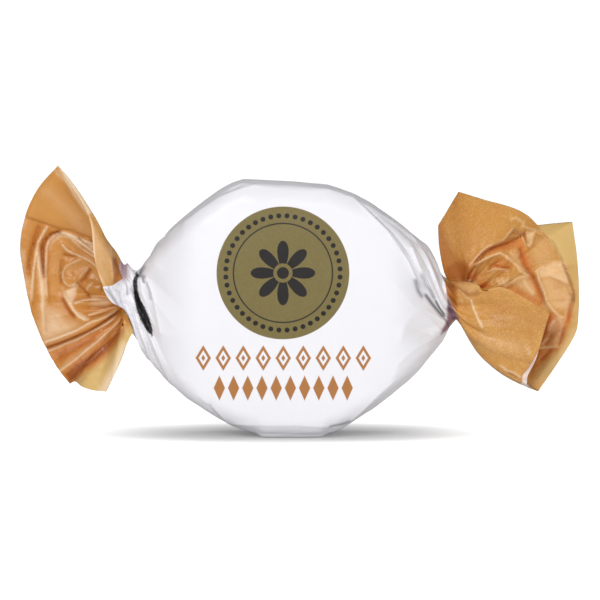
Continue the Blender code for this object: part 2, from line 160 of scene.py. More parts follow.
# Where round each funnel it bulges, and how far at its neck and half way, as parts of its length.
LEFT_BULGES = ((0.97, (0.18, 0.0, 0.05), (0.085, 0.0, 0.0)),)
RIGHT_BULGES = (
    (0.54, (-0.14, 0.0, -0.2), (-0.29, 0.0, -0.055)),
    (0.92, (0.0, 0.0, 0.0), (0.0, 0.16, 0.0)),
)

# Folds of the paper as seen from the front: how far each stands up in mm, how strong the painted
# highlight (above 0) or painted shade along its crease is, and its line of (x, z) in mm.
LEFT_BACK_FOLDS = (
    (0.25, 0, ((-42.1, 41.2), (-39.9, 39.4), (-37.7, 37.3), (-35.9, 36.3))),
    (-0.15, 0, ((-38.2, 40.9), (-37, 39.2), (-35.8, 37.5))),
    (0.2, -0.15, (
        (-45.4, 37), (-43.3, 36.3), (-41.5, 35.6), (-39.6, 35), (-37.7, 34.7), (-35.8, 34.1), (-34, 33.3),
    )),
    (0.9, 0.7, ((-41.9, 35.2), (-42.5, 34.2), (-43.3, 32.8), (-43.5, 32.1))),
    (0.8, 0.7, ((-43.5, 32.1), (-43.8, 30.5), (-44.2, 28.1), (-44.4, 25.4), (-44.6, 22.1))),
    (0.6, 0.5, (
        (-43.5, 32.1), (-43.4, 29.6), (-43.1, 27.2), (-42.8, 24.8), (-42.7, 22.1), (-42.5, 19.6),
        (-42.3, 17.4),
    )),
    (-0.9, -0.8, (
        (-39.7, 34.4), (-41.3, 34), (-42.4, 32.8), (-42.8, 31.6), (-42.8, 29.8), (-42.6, 27.9),
        (-42.4, 26.5),
    )),
    (-0.8, -0.5, ((-43.4, 35.1), (-44.1, 32.9), (-44.7, 30.8), (-45.1, 28.9), (-45.2, 27.2))),
    (1, 0.6, (
        (-39.6, 34.2), (-40.8, 33.6), (-41.6, 32.8), (-42, 31.7), (-42.1, 29.8), (-42.2, 27.2),
        (-42.1, 24.8), (-41.9, 22.4),
    )),
    (1, 0.7, ((-39.6, 34.2), (-38.7, 34), (-37.3, 33.4), (-36.2, 33), (-35, 32.6), (-33.7, 32.2))),
    (-0.2, -0.6, ((-34.5, 33), (-33.7, 32.4))),
    (0.8, 0.7, ((-38.1, 33.6), (-36.2, 32.5), (-34.7, 31.6), (-33.6, 30.6))),
    (-0.3, -0.7, ((-36.5, 33.3), (-35.2, 32.2), (-33.6, 30.9))),
    (0.7, 0.5, ((-37.6, 32.9), (-36.2, 31.7), (-34.7, 30.6), (-33.5, 29.9))),
    (-0.1, -0.4, ((-35.9, 31.7), (-34.5, 30.8), (-33.6, 30.2))),
    (0.1, 0, ((-40.7, 32), (-40.9, 28.4), (-41, 24.8))),
    (0.8, 0.6, (
        (-39.3, 32.1), (-38.6, 31.2), (-37.3, 30.5), (-35.9, 30), (-34.7, 29.4), (-33.4, 28.4),
        (-32.8, 27.3), (-32.1, 26.1),
    )),
    (-0.4, -0.4, ((-39, 30.4), (-38.1, 30.2), (-36.9, 30.1))),
    (0.6, 0.4, (
        (-36.3, 29.6), (-37.6, 29), (-38.7, 28.4), (-39.3, 27.5), (-39.3, 26.5), (-39, 25.6), (-38.2, 25),
        (-37.3, 25.2), (-36.9, 26),
    )),
    (-0.5, -0.5, ((-39.4, 29.3), (-39.6, 28.1), (-39.7, 26.5), (-39.5, 25.3))),
    (0.3, 0, ((-38.1, 27.4), (-37.6, 26.9))),
    (0.6, 0.3, ((-39.4, 24.4), (-38.8, 23.4), (-38.1, 22.2))),
    (-0.1, 0, ((-36.9, 25.3), (-37.2, 24.1), (-37.3, 22.6))),
    (0.5, 0.4, ((-35, 28), (-35.9, 27.2), (-36.6, 26.2))),
    (-0.5, -0.5, ((-36.7, 25.5), (-35.7, 24.4), (-34.5, 23))),
    (-0.4, -0.4, ((-34.5, 27.8), (-35.3, 26.5), (-36.4, 25.5))),
    (0.4, 0.5, ((-34.2, 25.6), (-35, 24.8), (-35.1, 24.2))),
    (0.3, 0.5, ((-33.4, 24.9), (-32.7, 25))),
    (-0.3, -0.5, ((-32.7, 25.4), (-32.5, 24.2))),
    (0.7, 0.7, ((-37.2, 22.2), (-35.7, 22.6), (-33.9, 22.8), (-32.1, 22.6), (-31, 22.4))),
    (0.7, 0.6, ((-39.1, 23.4), (-38.1, 22.1), (-37.5, 20.9), (-36.6, 19.9), (-35, 19.3))),
    (-0.4, -0.6, ((-39.3, 22.9), (-38.6, 21.5), (-37.8, 20.3), (-37.1, 19.5))),
    (0.2, 0, ((-41.8, 18), (-40.2, 18.3), (-38.8, 18.6))),
    (0.9, 0.7, (
        (-41.9, 15.8), (-40.2, 16.3), (-38.6, 16.9), (-36.8, 17.6), (-35.6, 18.3), (-34.3, 19),
        (-33.1, 19.4), (-31.8, 19.9), (-30.6, 20.6), (-29.5, 21.4),
    )),
    (0.5, 0.6, ((-34.8, 20.1), (-33.1, 20.6), (-31.2, 21.3), (-29.9, 21.6))),
    (0, -0.4, ((-34.3, 19.8), (-32.5, 20.3), (-30.6, 21.1))),
    (-0.9, -0.9, (
        (-41.8, 14.7), (-39.9, 15.3), (-37.8, 16.1), (-36.1, 16.8), (-34.6, 17.5), (-33.1, 18.4),
        (-31.6, 19.4), (-30.2, 20.3), (-28.9, 21.1),
    )),
    (0.8, 0.6, (
        (-41.6, 14.2), (-39.9, 14.8), (-38.3, 15.5), (-36.6, 16.1), (-35, 17), (-33.3, 17.8), (-31.8, 18.6),
        (-30.6, 19.5), (-29.5, 20.3),
    )),
    (-0.2, -0.1, ((-40.8, 12.4), (-38.6, 13.5), (-36.1, 14.8), (-33.8, 16))),
    (0.8, 0.5, (
        (-39.3, 11), (-38.1, 11.9), (-36.6, 13), (-35, 14.4), (-33.3, 15.7), (-32.1, 16.8), (-30.8, 17.9),
        (-29.7, 19), (-28.9, 20.4),
    )),
    (-0.35, -0.3, ((-37.8, 9.3), (-36.3, 11), (-34.6, 12.7), (-32.8, 14.4), (-31.1, 16.3))),
    (0.4, 0.1, ((-36.8, 9), (-34.8, 10.4), (-32.8, 12.3), (-31.1, 14.3))),
    (0.3, 0.4, ((-32.8, 18.1), (-32.7, 17.4))),
    (0.3, 0.4, ((-32.1, 17.5), (-30.8, 18))),
)
LEFT_FRONT_FOLDS = (
    (0.2, 0.5, ((-34.6, 37.5), (-33.9, 36.1), (-33.6, 34.7), (-33.5, 32.3))),
    (0.2, 0.5, ((-33.5, 33.1), (-33.4, 30.8), (-33.4, 28.9), (-32.7, 27.3), (-31.9, 26))),
    (0.5, 0.3, ((-30.9, 32.4), (-30.6, 30.8), (-30.5, 28.9), (-30.3, 26.2))),
    (-0.3, -0.8, ((-30, 29.9), (-29.7, 28.4), (-29.5, 26.9))),
    (-0.3, -0.5, ((-31.1, 25), (-30.2, 23.3), (-29.2, 21.5))),
    (0.3, 0, ((-30.4, 25.2), (-29.6, 23.4), (-28.8, 21.8))),
    (-0.3, -0.3, ((-29.3, 24.4), (-29, 22.4))),
    (-0.1, -0.7, ((-31.6, 24.9), (-30.9, 24.1), (-29.7, 22.3))),
    (-0.1, -0.5, ((-31, 25.4), (-31.1, 24.3), (-30.7, 23.7))),
)
RIGHT_BACK_FOLDS = (
    (0.4, 0.5, ((37, 36.5), (37.8, 36.8), (38.6, 36.3), (39.2, 36), (39.1, 35.4), (38.6, 34.9))),
    (0.5, 0.5, ((39.2, 35.3), (40.2, 34.9), (41.4, 34.6), (42.2, 34.3), (43, 33.9))),
    (0.5, 0.4, ((42.6, 34.1), (43.5, 33.5), (44.4, 32.4), (45.3, 30.9), (45.8, 29.7))),
    (0.6, 0.7, (
        (30, 28.6), (31, 29.9), (32.1, 31.1), (33.1, 31.9), (34.6, 32.4), (35.8, 32.9), (36.7, 34.1),
        (37.4, 34.9), (38, 34.4), (38.5, 34.2), (39.2, 34.4), (39.2, 33.5), (39.7, 32.3), (40.2, 31.3),
    )),
    (-0.98, -0.56, (
        (31, 29.2), (31.9, 30.4), (33.1, 31.3), (34.6, 31.8), (36.2, 32.3), (37.8, 32.9), (39, 33.6),
    )),
    (0.1, 0.2, ((37.2, 33.7), (38, 33.8), (38.6, 33.5))),
    (-0.75, -0.56, ((38.8, 31.3), (39.1, 30.1), (39.6, 28.8))),
    (-0.75, -0.56, ((38.9, 29.9), (39.6, 28.5), (40.2, 27.5))),
    (0.8, 0.8, (
        (31, 28.8), (31.9, 29.3), (32.9, 29.8), (34.1, 30.3), (35.3, 30.7), (36.4, 30.1), (37.4, 29.2),
    )),
    (0.8, 0.8, ((36.2, 30.1), (37.2, 29.5), (38.2, 28.5), (38.9, 27.5), (39.7, 27), (40.6, 26.5))),
    (-0.2, 0.2, ((36.2, 31.1), (37.7, 30.4))),
    (0.6, 0.5, ((38.2, 28.5), (39.1, 28), (40, 27.4), (40.6, 26.9))),
    (-0.75, -0.63, ((40.2, 27.4), (41.1, 26.6), (41.6, 25.4), (42.2, 24), (42.7, 22.8), (42.7, 22))),
    (0.6, 0.6, ((33.5, 27.6), (34.5, 28), (35.7, 27.9), (37.1, 27.6))),
    (-0.5, -0.7, ((33.8, 28.6), (34.6, 28.6), (35.7, 28.2), (37.1, 28))),
    (-0.5, -0.5, ((33.5, 27.9), (34, 28.6), (34.9, 29.1))),
    (0.3, 0.6, ((34.8, 26.2), (35.4, 25.2))),
    (0.3, 0.6, ((35.8, 26.3), (36.1, 25.1))),
    (0.3, 0.5, ((36.7, 26.5), (36.4, 25.8))),
    (0.3, 0.5, ((33.8, 25.8), (34.4, 26.4))),
    (0.3, 0.7, ((39.4, 26.1), (39.9, 25.1), (40.5, 24.3), (41.3, 23.5))),
    (0.5, 0.3, ((37.2, 25.6), (38.2, 26.2), (39.6, 26.5), (40.4, 26.3))),
    (1, 0.8, (
        (41.7, 27.3), (42, 26.2), (42.5, 25), (43, 23.8), (43.3, 22.5), (43.9, 21.5), (44.8, 20.5),
        (45.5, 19.6),
    )),
    (0.7, 0.6, ((41.5, 27.5), (42.1, 27.9), (42.7, 28.4), (42.9, 27.7))),
    (0.4, 0.4, ((42.3, 27.6), (43.6, 27), (45, 26.3), (46.2, 25.9), (46.9, 25.4))),
    (0, -0.2, ((42.5, 26.2), (43.9, 26.4), (45.2, 25.9))),
    (0.6, 0, ((40, 34.3), (40.1, 33.1), (40.5, 31.8), (41, 32.6), (41.3, 34.3))),
    (0.1, 0, ((42.2, 31.2), (42.2, 29.6))),
    (-0.1, -0.3, ((43.6, 22.4), (45.2, 22.6), (47, 22.6))),
    (-0.68, -0.63, ((46.3, 28.5), (46.9, 26.9), (47.6, 25.2), (48, 23.8), (48, 22.5))),
    (0.5, 0.4, ((46, 28.2), (46.6, 26.6), (47.2, 25.1), (47.6, 23.8), (47.7, 22.7))),
    (-0.75, -0.63, ((47.6, 23.6), (47.5, 22), (47.2, 20.4), (46.8, 18.6))),
    (-0.9, -0.8, ((46.2, 17.9), (45.9, 16.5), (45.4, 15))),
    (0.4, 0.3, ((46.6, 20.8), (46.4, 19.4), (46, 17.9), (45.5, 16.3), (45.1, 15.2))),
    (0.6, 0.6, ((45, 20.5), (45.4, 19.9), (45.8, 19.7), (46.4, 19.7))),
    (0.6, 0.5, (
        (45.1, 19.6), (45.7, 19), (45.8, 18.1), (45.6, 17.2), (45.1, 16.7), (44.8, 15.9), (44.4, 15.2),
    )),
    (0.3, 0.7, ((44.6, 19.1), (44, 18.3), (43.7, 17.7), (44, 17.2))),
    (0.4, 0.6, ((43.9, 17.2), (43.5, 16.3), (42.8, 15.6), (42.2, 15))),
    (-0.6, -0.8, ((44, 17), (43.6, 15.9), (43, 14.8))),
    (-0.6, -0.8, ((43.9, 20.1), (43.5, 18.7), (43, 17.4), (42.5, 16.1), (42.1, 15.2))),
    (0.5, 0.6, ((42.2, 14.5), (43, 14.6), (43.9, 14.7), (44.4, 14.8), (45.3, 14.6))),
    (-0.9, -0.63, ((42, 14.1), (41.6, 13), (41.1, 11.8), (40.6, 10.7), (40.4, 10))),
    (-0.9, -0.7, ((44, 14.1), (43.1, 13.2), (42.2, 12.3))),
    (0.2, 0.1, ((44.9, 13.7), (43.5, 11.4), (41.8, 9.1))),
    (0.8, 0.4, ((28.5, 26.1), (30.2, 26.1), (31.2, 25.5), (31.5, 24.9))),
    (-0.6, -0.7, ((31.8, 24.9), (32.3, 24.7), (33.3, 25))),
    (-0.4, -0.5, ((26.6, 27.7), (27.6, 26.6), (29.3, 26.5))),
)
RIGHT_FRONT_FOLDS = (
    (0.3, 0.4, ((28, 24.6), (28.9, 23.8), (30.1, 22.9))),
    (0.4, 0.9, ((30.1, 22.9), (30.6, 21.4), (31.2, 20), (32.1, 18.1))),
    (-0.5, -0.6, ((27.9, 25), (28.6, 24.4), (29.7, 23.9), (30.8, 24.1), (31.5, 24.9))),
    (0.2, 0.3, ((28.1, 23.8), (28.6, 22.7), (28.8, 22))),
    (0.5, 0.7, ((35.2, 11.8), (36.1, 11), (37.4, 10.6), (38.8, 9.6))),
    (-0.2, -0.3, ((36.6, 10.5), (38, 9.5))),
    (0.3, 0.5, ((39.4, 14.9), (39.8, 14.4), (40, 13.4))),
)
BODY_FRONT_FOLDS = (
    (0.1, -0.3, ((-6.1, 42.7), (-9.2, 41.8), (-12.6, 40.5), (-15.7, 38.3), (-18.3, 36.1))),
    (-0.5, 0, ((-8.9, 42.7), (-13, 41.2), (-16.5, 38.9), (-19.7, 35.8))),
    (-0.4, -0.6, ((-25.3, 28.5), (-25.9, 27.6), (-25, 26.7))),
    (-0.4, -1, ((-27.4, 28.4), (-26.8, 27.9), (-26.3, 27.2), (-25.9, 27.8), (-25.5, 28.4))),
    (-0.2, -0.8, ((-25.4, 26.7), (-25.1, 25.8))),
    (0.5, 0, ((-25, 27), (-23.8, 24.4), (-23.1, 21.5), (-22.4, 17.7))),
    (-0.2, -0.4, ((-24.7, 25.9), (-24.2, 24.4), (-23.9, 22.9))),
    (-0.3, 0, ((-26.6, 27.6), (-26.8, 25), (-26.2, 22.6), (-25, 19.4), (-24, 16.6))),
    (0.4, 0, ((-26, 27), (-25.5, 24.4), (-24.6, 21.8), (-23.7, 19.1))),
    (0.4, 0, (
        (-27.4, 27.3), (-27.5, 24.4), (-26.8, 21.5), (-25.6, 18.5), (-24.4, 15.3), (-23.1, 12.4),
        (-21.8, 10),
    )),
    (-0.3, -0.7, ((-28.6, 26.4), (-28.2, 25), (-27.9, 23.6))),
    (0.3, 0, ((-26.5, 18.5), (-25.6, 15.6), (-24.1, 12.7), (-22.4, 10.3))),
    (-0.3, -0.1, ((-25.9, 19.1), (-24.7, 16.2), (-23.4, 13.3), (-22.1, 10.6))),
    (-0.3, -0.3, ((-14, 5.7), (-12.7, 3.9), (-11.3, 2.4), (-9.9, 1.3))),
    (0.2, 0, ((-15.7, 7.1), (-14.2, 5.9), (-12.4, 4), (-10.7, 2.1))),
    (0.1, -0.3, ((-10.7, 2.1), (-6, 2.1), (1.2, 2.1))),
    (-0.4, 0, ((-8.9, 1), (-4.5, 0.4), (1.2, 0.2))),
    (0.1, -0.3, ((-0.5, 2.1), (3.3, 2), (6.5, 1.8))),
    (-0.4, 0, ((-0.5, 0.2), (3.9, 0.2), (6.5, 0.4))),
    (0.5, 0, (
        (6.5, 42), (9.2, 40.9), (11.2, 39.3), (13.5, 37), (15.9, 34.6), (17.6, 32.3), (19.4, 29.7),
        (20.6, 27), (21.3, 25.3),
    )),
    (-0.4, -0.12, ((11.2, 39.9), (14.1, 37.3), (16.8, 34.6), (18.5, 32.3), (20, 30.2))),
    (-0.5, -0.7, ((20.6, 26.4), (21.1, 24.7), (22, 23.4))),
    (0.4, 0, ((20, 32), (21.2, 29.1), (22.6, 26.1), (24.1, 23.2), (25.4, 20.6))),
    (-0.5, -0.9, ((22.4, 23.9), (23.6, 22.3), (25.2, 20.4), (26, 19.9))),
    (-0.3, -1, ((24.1, 22.8), (24.9, 21.4), (25.8, 20.3))),
    (0.5, 0.5, ((23.1, 24.1), (24.7, 21.9), (25.5, 20.7))),
    (-0.1, -0.7, ((26.2, 22.9), (26.6, 21.2), (27.4, 19.6))),
    (-0.1, -0.8, ((25.5, 19.9), (26.1, 19.2), (26.6, 18.2))),
    (-0.1, -0.6, ((26.2, 21.4), (26.9, 20.3), (27.2, 19.4))),
    (-0.4, -0.45, ((21.7, 27.3), (22.4, 25.6), (23.3, 24.5), (24, 22.9))),
    (-0.7, 0, ((15.9, 37.3), (20, 34), (22.6, 31.7), (24.4, 28.5), (25.5, 25.9))),
    (0, 0, ((11.2, 33.2), (17.1, 26.1), (20, 22.6))),
    (0.2, 0, ((25.7, 19.4), (22.3, 21.5), (20, 20.6), (18.7, 18.8), (18.2, 16.5))),
    (-0.3, 0, ((24.7, 18.5), (22.3, 18.5), (20.6, 17.7))),
    (0.2, 0, ((25.3, 17.1), (21.7, 15.6), (19.4, 14.1), (17.6, 12.4), (17.1, 10.3))),
    (-0.4, 0, ((24.1, 14.4), (21.7, 13), (20, 11.2))),
    (-0.6, 0, ((25, 15.9), (22, 11.5), (18.2, 8.3), (14.7, 5.7), (11.2, 3))),
    (0.2, 0, ((17.1, 9.7), (14.1, 7.1), (11.8, 4.8), (10, 3))),
    (-0.3, -0.7, ((6.2, 1.9), (8.3, 2.1), (10.2, 2.7))),
    (-0.2, -0.2, ((9.2, 1.6), (7.4, 0.5))),
)

# Edges where one layer lies over another: how far the left side of the line stands over its
# right side, how far that reaches, and the line, in mm.
LEFT_OVERLAPS = (
    (0.35, 2.5, ((-46.2, 37.2), (-43.3, 36.3), (-41.5, 35.6), (-39.6, 35), (-37.7, 34.7), (-33, 33))),
)
RIGHT_OVERLAPS = (
    (0.6, 2.5, (
        (26.6, 24.4), (29.4, 26.7), (31.2, 29.1), (34, 32.2), (35.9, 32.9), (37.5, 34.9), (38.5, 34.2),
        (39.4, 34.4), (39.8, 32.8), (40.4, 31.2),
    )),
    (-0.4, 2, ((41, 34.5), (42.6, 34.1), (44.4, 32.4), (45.8, 29.7), (46.3, 28.5), (47.6, 25))),
    (-0.5, 2.5, ((46.3, 28.4), (47, 26.8), (47.6, 25.2), (48, 23.8), (47.9, 22.2), (47, 18))),
    (0.5, 2, ((41.4, 14.2), (42.9, 14.6), (43.8, 14.7), (44.3, 14.8), (45.6, 14.4))),
)
# Facets with painted light (above 0) or painted shade over the gold: how strong it is, how soft
# their edges are in mm, and their outlines in mm.
LEFT_BACK_LIGHT_AND_SHADE = (
    (0.85, 0.35, (
        (-40.5, 45.1), (-40, 45.2), (-39.1, 44.4), (-38.1, 43.2), (-37.2, 42), (-37.7, 42.1), (-38.9, 43.1),
        (-40, 44.2),
    )),
    (0.16, 1.6, (
        (-42.9, 41.6), (-41.1, 41.9), (-38.5, 39.5), (-36.1, 37.2), (-34.7, 34.5), (-36.4, 34.5),
        (-38.5, 37.2), (-40.7, 39.5),
    )),
    (-0.15, 1.4, (
        (-45.1, 36.9), (-42.4, 36.3), (-38.5, 35.4), (-34.1, 33.8), (-34.1, 32.6), (-37, 33.5),
        (-39.9, 34.7), (-42.4, 35.1), (-43.7, 35.9),
    )),
    (-0.5, 0.9, (
        (-43.3, 35.7), (-42.3, 35.3), (-42.9, 33.8), (-43.6, 32.2), (-44.1, 30.6), (-44.4, 27.7),
        (-45.1, 26.5), (-45.4, 28.4), (-44.9, 31.6), (-44.2, 34),
    )),
    (-0.65, 0.5, (
        (-41.5, 33.8), (-40.4, 34.7), (-39.6, 34.5), (-41, 33.4), (-41.8, 32.2), (-42.1, 30.6),
        (-42.2, 27.7), (-42.5, 26.5), (-43, 29.9), (-43.2, 31.6), (-42.7, 32.8),
    )),
    (0.6, 0.5, (
        (-43.9, 31.1), (-43.6, 30.9), (-43, 29), (-42.5, 26.2), (-42.3, 22.9), (-42.3, 20.7), (-41.9, 17.1),
        (-42.4, 16.7), (-42.7, 20.7), (-43.1, 23.6), (-43.4, 27.5), (-43.7, 29.7),
    )),
    (0.5, 0.5, (
        (-41.7, 32.3), (-41, 33.4), (-39.4, 34.4), (-37.9, 34.1), (-36.7, 33.4), (-37.7, 33.4),
        (-39.1, 33.6), (-40.4, 33), (-41.3, 32.1), (-41.7, 31.2),
    )),
    (0.85, 0.5, (
        (-39, 34.2), (-37.5, 33.8), (-35.5, 33), (-33.8, 32.1), (-33.6, 30.4), (-35, 31.5), (-37, 33.1),
        (-39, 33.6),
    )),
    (-0.2, 0.8, (
        (-39, 31), (-38.1, 30.5), (-37, 29.9), (-36.1, 29.6), (-36.9, 29.4), (-38.1, 29.1), (-39, 28.4),
        (-39.1, 30),
    )),
    (-0.3, 0.6, (
        (-36.5, 25.8), (-34.9, 28), (-34.6, 27.4), (-35.1, 26), (-35.3, 24.5), (-34.6, 23.1), (-35.7, 24.2),
    )),
    (0.8, 0.3, (
        (-39, 24.2), (-38.1, 24.6), (-36.8, 25.7), (-37, 24.4), (-37.3, 22.9), (-37.8, 21.9), (-37, 20.6),
        (-36.1, 20.2), (-34.7, 19.4), (-35.6, 19.1), (-36.8, 19.9), (-38, 21.5), (-38.6, 22.8),
    )),
    (-0.65, 0.6, (
        (-39.5, 23.4), (-38.6, 22), (-37.8, 20.7), (-37, 19.9), (-37.4, 19.4), (-38.5, 20.2), (-39.3, 21.4),
        (-39.7, 22.4),
    )),
    (0.3, 0.6, ((-34.6, 23.4), (-32, 23.2), (-31.2, 22.4), (-31.4, 21.4), (-34.4, 21.4))),
    (0.25, 0.5, ((-46.8, 32), (-45.7, 31), (-45.1, 27), (-44.9, 23), (-46.4, 24.5))),
    (0.15, 0.8, ((-40.3, 23.5), (-38.8, 23.5), (-38, 19), (-40.3, 19))),
    (-0.15, 0.8, ((-36.9, 21.9), (-34.7, 22), (-31.1, 21.9), (-33.4, 21), (-35.4, 20.5), (-36.5, 20.7))),
    (0.66, 2, (
        (-42.1, 21), (-39.9, 20.1), (-39, 18.9), (-37.3, 18.5), (-38.1, 17.5), (-39.9, 16.7), (-41.9, 16.1),
        (-42.5, 17.1), (-42.4, 19.7),
    )),
    (-0.35, 0.5, (
        (-41.5, 15.3), (-37.3, 16.8), (-34.7, 18.1), (-32.1, 19.4), (-30.3, 20.3), (-29.2, 21.1),
        (-29.1, 20.7), (-30.4, 19.7), (-32.1, 18.8), (-33.9, 17.9), (-36, 17.1), (-38.6, 15.9),
        (-41.3, 14.7),
    )),
    (-0.75, 1, (
        (-41.2, 14.1), (-37.3, 15.9), (-33.4, 17.6), (-31.1, 18.9), (-33.4, 15.9), (-36.7, 13.7),
        (-39.3, 12), (-40.3, 12.5),
    )),
    (0.35, 0.7, (
        (-39.3, 11.2), (-36.7, 13.2), (-34.7, 14.5), (-32.8, 15.9), (-31.7, 16.8), (-32.2, 16.9),
        (-34.1, 15.6), (-36.3, 14.1), (-38.6, 12.4),
    )),
    (-1, 0.9, (
        (-39.1, 10.4), (-37.3, 12.1), (-34.7, 13.8), (-32.6, 15.4), (-30.8, 16.9), (-29.6, 18.1),
        (-28.5, 19.2), (-28.7, 17.5), (-29.9, 15.5), (-31.5, 13.6), (-33.4, 12.1), (-35.3, 10.9),
        (-36.7, 9.4), (-37.8, 8.2),
    )),
    (0.9, 0.8, (
        (-28.7, 15.8), (-27.8, 15.3), (-29.1, 11.9), (-30, 9.3), (-30.9, 6.7), (-33.5, 6.7), (-32, 9.3),
        (-30.7, 11.6), (-29.7, 13.7),
    )),
)
LEFT_FRONT_LIGHT_AND_SHADE = (
    (0.8, 0.25, ((-40, 46), (-39.3, 46), (-36.4, 41.6), (-34, 37.8), (-34.8, 37.2), (-37.2, 40.6))),
    (0.55, 0.4, (
        (-34.7, 37.8), (-34.3, 37.4), (-33.7, 35.5), (-33.4, 33.6), (-33.2, 31), (-33, 29), (-32.4, 27.3),
        (-31.5, 25.4), (-32, 25.7), (-32.9, 27.1), (-33.4, 28.7), (-33.7, 32.1), (-34, 35.2),
    )),
    (0.2, 0.9, (
        (-34.4, 37), (-33.5, 31), (-32.4, 26.2), (-30.8, 26), (-30.6, 31), (-31.6, 32.6), (-33, 35),
    )),
    (-0.65, 0.3, (
        (-30.6, 30.5), (-30, 30), (-29.2, 28.5), (-28.7, 27), (-28.7, 26.3), (-30.3, 25.6), (-30.3, 27.4),
        (-30.5, 29),
    )),
)
RIGHT_BACK_LIGHT_AND_SHADE = (
    (0.75, 0.3, ((39.7, 34.4), (41.2, 34.4), (40.9, 33.2), (40.6, 31.8), (40.2, 31.9), (40, 33.1))),
    (0.68, 0.6, (
        (41.7, 27.6), (42.7, 28.3), (44.6, 29.3), (46.6, 29), (47.2, 26.1), (46.9, 25.4), (44.3, 26.3),
        (42.2, 26.3),
    )),
    (0.36, 0.8, ((42, 26.4), (44.3, 26.6), (46.9, 25.6), (47.6, 23.1), (47.4, 20.7), (43.2, 21.3))),
    (0.35, 0.5, (
        (37.8, 26.6), (39.6, 27), (40.7, 26.2), (41.5, 24.4), (41.2, 23.3), (39.9, 23.9), (38.3, 25.2),
        (37.1, 25.5),
    )),
    (0.4, 0.4, ((35, 26.4), (36.3, 26.3), (37.1, 25.4), (36.1, 25), (35.2, 25.6))),
    (0.3, 0.8, ((37.1, 31.1), (38.6, 30.8), (39.3, 29.3), (39.1, 27.9), (38, 28.7), (36.8, 30))),
    (0.2, 1, ((41.5, 33.2), (43.5, 33.2), (45, 30), (43.5, 28.7), (41.7, 28.2), (40.9, 30.9))),
    (0.45, 0.4, ((43.7, 18), (44.6, 19.8), (45.8, 20), (46, 18.3), (45.4, 17.1), (43.9, 16.5))),
    (0.2, 0.8, ((42.6, 11.2), (45.6, 14.2), (47.5, 17.2), (49.4, 16), (45, 9.6), (42.2, 6), (40.4, 8))),
    (0.2, 0.4, ((43.6, 15.6), (44.8, 16.5), (45.5, 16.5), (45.2, 14.9), (43.1, 14.6))),
    (-0.5, 0.6, (
        (29.4, 26.6), (30.5, 28.7), (32.1, 30.9), (33.1, 31.9), (35.7, 32.6), (37.5, 32.7), (38.7, 33.2),
        (39.2, 34.2), (38.7, 31.9), (36.7, 31.3), (34.1, 30.9), (32.1, 30.2), (31, 28.8), (30, 26.9),
    )),
    (-0.58, 0.6, (
        (38.4, 32.6), (39.2, 32.7), (39.6, 30.9), (40.4, 29), (41.2, 26.9), (41.9, 24.4), (42.8, 22.5),
        (42, 22.5), (41.1, 25.1), (39.9, 27.4), (39, 29), (38.6, 30.6),
    )),
    (-0.3, 0.5, ((33.8, 28.6), (35, 29.9), (36.3, 29.6), (37.5, 28.3), (35.4, 27.9))),
    (-0.35, 0.6, ((42.6, 20), (45, 20.4), (46.4, 18.6), (45.4, 15), (42.4, 15))),
    (-0.38, 1, (
        (42.1, 14.5), (45.2, 14.6), (44.3, 13.3), (42.5, 11.6), (41, 10.1), (40.1, 8.7), (40.1, 10.1),
        (41, 11.8), (41.6, 13.3),
    )),
    (-0.6, 0.4, (
        (43.7, 19.8), (44.3, 20.2), (44.8, 19.5), (44, 18.3), (43.2, 16.5), (42.4, 15.1), (42.5, 16.8),
        (43.4, 18.6),
    )),
    (-0.6, 0.4, (
        (46.9, 20.9), (47.4, 21.8), (47.6, 19.8), (46.7, 17.7), (45.9, 15.6), (45.1, 14.6), (45.3, 16.3),
        (46.1, 18.3),
    )),
    (-0.58, 0.7, (
        (36.8, 25.1), (39.3, 23.8), (41.6, 22.8), (42.8, 22.4), (42.5, 21.9), (40.8, 22.5), (38.6, 23.4),
        (37.2, 24.4),
    )),
    (-0.88, 1.2, ((25.2, 28.5), (27.5, 30), (30, 29.2), (31.3, 27), (31, 25), (27.5, 24.6), (25.4, 24.6))),
    (-0.6, 0.5, ((31.5, 26), (33, 25.7), (33.4, 25), (32.4, 24.6), (31.7, 25.1))),
    (-0.65, 1.4, ((23, 36.5), (25.5, 36), (26.7, 33), (27.7, 31), (29.9, 28.5), (27.5, 25.2), (23, 25))),
    (-0.25, 2.2, ((22, 43), (29.3, 43), (29.8, 36), (30.2, 32), (30, 29), (22, 28))),
)
RIGHT_FRONT_LIGHT_AND_SHADE = (
    (-0.8, 0.5, ((25.5, 26), (27.5, 25.8), (27.6, 24), (27.9, 21.6), (26.9, 21.8), (26, 24))),
    (0.12, 0.4, ((28, 25.9), (29.8, 26.2), (31.3, 25.6), (31, 24.3), (29.7, 23.9), (28.4, 24.5))),
    (-0.2, 2, (
        (32.2, 22.4), (36, 22.8), (39.3, 21.8), (43.1, 21.2), (42.8, 18.2), (39.3, 17), (34.1, 18.5),
    )),
    (0.12, 1.6, ((31.7, 17.1), (36.3, 16.8), (39.3, 15.6), (38.7, 13.4), (34.8, 14), (32, 15.3))),
)
